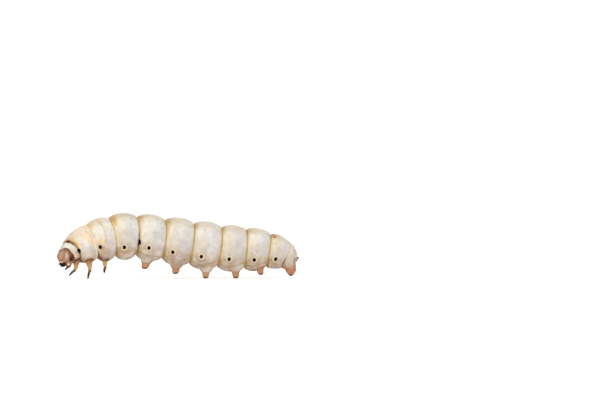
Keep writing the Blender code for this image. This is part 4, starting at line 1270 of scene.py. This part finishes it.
def buildMouth():
    def ball(title, side=1, dent=None):
        plan = mouthPlan[title]
        aside = mouthPlan["aside"] if title == "mandible" else 0.0
        at = (plan["at"][0], plan["at"][1] * side + aside, plan["at"][2])
        return headBall(title, at, plan["half"], dent=dent)

    labrum = ball("labrum", dent=notchLip)
    clypeus = ball("clypeus")
    mandibles = {}
    for side, word in ((1, "left"), (-1, "right")):
        mandibles[word] = ball("mandible", side, lambda spot, half: cutTeeth(spot, half, side))
        mandibles[word].name = "jaw_" + word
    lower = joinPieces("lowerMouth", [ball("labium"), ball("palp", 1), ball("palp", -1), ball("spinneret")])
    return labrum, clypeus, mandibles, lower


antennaPlan = {
    "stops": [((0.45, 0.42, -0.56), 0.13), ((0.58, 0.48, -0.64), 0.12), ((0.66, 0.53, -0.68), 0.105),
              ((0.74, 0.57, -0.67), 0.08), ((0.80, 0.60, -0.63), 0.055), ((0.85, 0.62, -0.60), 0.025)],
    "pinches": ((2.2, 0.3, 0.18), (3.5, 0.3, 0.2)),
}


def buildAntenna(side, word):
    stops = [(inHead((at[0], side * at[1], at[2]), 0.0), radius) for at, radius in antennaPlan["stops"]]
    return buildTube("antenna_" + word + "_shell", stops, steps=5, pinches=antennaPlan["pinches"])


def buildEyes():
    deselectAll()
    bpy.ops.mesh.primitive_uv_sphere_add(segments=16, ring_count=10, radius=headPlan["eyeRadius"])
    bead = bpy.context.object
    bpy.ops.object.shade_smooth()
    places = []
    for side in (1, -1):
        for k in range(headPlan["eyes"]):
            turn = math.radians(headPlan["firstEye"] + headPlan["eyeArc"] * k / (headPlan["eyes"] - 1))
            reach = math.degrees(headPlan["eyeRing"] / headPlan["wide"])
            polar = math.radians(headPlan["eyePolar"] + reach * math.cos(turn))
            around = math.radians(side * (headPlan["eyeAround"] + reach * math.sin(turn)))
            spot = capsulePoint(math.cos(polar), math.sin(polar) * math.sin(around),
                                math.sin(polar) * math.cos(around))[0]
            places.append(frameOf(inHead(spot), (1, 0, 0), (0, 1, 0), (0, 0, 1)))
    return stampCopies("stemmata", bead, places)


headTones = {
    "base": (168, 122, 92), "light": (194, 150, 122),
    "coats": {
        # the pale pink coat on the upper lobes is a painted highlight
        "lobeHighlight": ((224, 192, 180), 0.8), "lowFace": ((146, 98, 58), 1.3), "frons": ((164, 124, 90), 0.5),
        # the olive stripe coat is painted shade beside the groove
        "bloom": ((216, 174, 128), 0.8), "stripe": ((146, 130, 98), 0.9), "pits": ((110, 76, 38), 1.6),
        # the dark rim coat is painted shadow at the back of the head
        "suture": ((110, 78, 48), 0.5), "margin": ((132, 86, 62), 0.6), "rim": ((84, 36, 18), 1.3),
        "jowl": ((122, 48, 8), 1.5), "cheek": ((52, 4, 0), 2.2),
    },
}


def headMaterial(grain):
    made, tree, shader = newMaterial("brownCapsule")
    specks = placeGrain(tree, grain, 2600.0, 16000.0)
    cloud = stretch(tree, specks.outputs["Mottle"], 0.42, 0.68, 0.0, 0.6)
    tone = layTone(tree, toneOf(headTones["base"]), toneOf(headTones["light"]), cloud)
    tree.links.new(layCoats(tree, tone, headTones["coats"]), shader.inputs["Base Color"])
    addGloss(tree, shader, specks, 0.30, 0.45, 0.15)
    shader.inputs["Coat Weight"].default_value = 0.03
    shader.inputs["Coat Roughness"].default_value = 0.25
    addBump(tree, shader, specks.outputs["Height"], 0.4, 0.000012)
    return made


# small hard pieces: picture colour, roughness, gloss
hardFinishes = {
    "spiracleRim": ((34, 20, 14), 0.5, 0.2), "spiraclePlate": ((12, 8, 7), 0.6, 0.1),
    "darkJaw": ((26, 8, 14), 0.32, 0.12), "labrumShell": ((190, 164, 146), 0.3, 0.12),
    "clypeusShell": ((158, 120, 84), 0.35, 0.12), "lowerMouthShell": ((92, 58, 36), 0.4, 0.12),
    "antennaShell": ((226, 186, 164), 0.4, 0.12), "eyeBead": ((20, 12, 10), 0.2, 0.5),
}


def hardMaterial(name, grain):
    rgb, roughness, gloss = hardFinishes[name]
    made, tree, shader = newMaterial(name)
    specks = placeGrain(tree, grain, 3000.0, 16000.0)
    tone = toneOf(rgb)
    light = [min(1.0, c * 1.7) for c in tone[:3]] + [1.0]
    mixed = layTone(tree, tone, light, stretch(tree, specks.outputs["Mottle"], 0.45, 0.75, 0.0, 0.8))
    tree.links.new(mixed, shader.inputs["Base Color"])
    addGloss(tree, shader, specks, roughness * 0.8, roughness * 1.3, gloss)
    addBump(tree, shader, specks.outputs["Height"], 0.2, 0.00001)
    return made


hornPlan = {
    "foot": (12.38, 0.0, 2.06), "footReach": 0.26,      # the brown skin round it
    # a thorn with a stout foot below: place and radius
    "stops": [((12.24, 0, 1.72), 0.17), ((12.34, 0, 1.84), 0.215), ((12.43, 0, 1.95), 0.225),
              ((12.52, 0, 2.04), 0.20), ((12.61, 0, 2.10), 0.145), ((12.69, 0, 2.14), 0.09),
              ((12.76, 0, 2.16), 0.05), ((12.81, 0, 2.17), 0.02)],
    "tones": [(0.0, (176, 118, 82)), (0.30, (186, 128, 78)), (0.45, (142, 96, 40)), (0.58, (118, 78, 24)),
              (0.75, (158, 114, 40)), (1.0, (178, 134, 58))],
}


def buildHorn():
    return buildTube("caudalHorn", [(Vector(at), radius) for at, radius in hornPlan["stops"]], steps=5)


# Assembly

def main():
    buildCamera()
    buildStudio()
    grain = grainGroup()
    rows = trunkRows()
    feet = [foot["name"] for foot in prolegPlan["feet"]] + ["anal_proleg"]
    skin = buildSkin(rows)
    finishPiece(skin, skinMaterial(grain), "skin", *bodyPlan["nodes"],
                *[foot + side for foot in feet for side in ("_left", "_right")])
    rims, plates = buildSpiracles(rows)
    finishPiece(rims, hardMaterial("spiracleRim", grain), "mouthparts")
    finishPiece(plates, hardMaterial("spiraclePlate", grain), "mouthparts")
    print("skin and breathing holes done")

    amber = legMaterial(grain, "amberShell", legPlan["tones"])
    for leg in legPlan["legs"]:
        finishPiece(buildLeg(leg), amber, "legs", leg["name"])
    print("legs done")

    dark = hardMaterial("darkJaw", grain)
    finishPiece(buildCapsule(), headMaterial(grain), "capsule", "head")
    labrum, clypeus, mandibles, lower = buildMouth()
    finishPiece(labrum, hardMaterial("labrumShell", grain), "mouthparts")
    finishPiece(clypeus, hardMaterial("clypeusShell", grain), "mouthparts")
    for word, piece in mandibles.items():
        finishPiece(piece, dark, "mouthparts", "mandible_" + word)
    finishPiece(lower, hardMaterial("lowerMouthShell", grain), "mouthparts", "labium")
    blush = hardMaterial("antennaShell", grain)
    for side, word in ((1, "left"), (-1, "right")):
        finishPiece(buildAntenna(side, word), blush, "legs", "antenna_" + word)
    finishPiece(buildEyes(), hardMaterial("eyeBead", grain), "mouthparts")
    finishPiece(buildHorn(), legMaterial(grain, "hornShell", hornPlan["tones"]), "skin")
    print("head and horn done")


main()
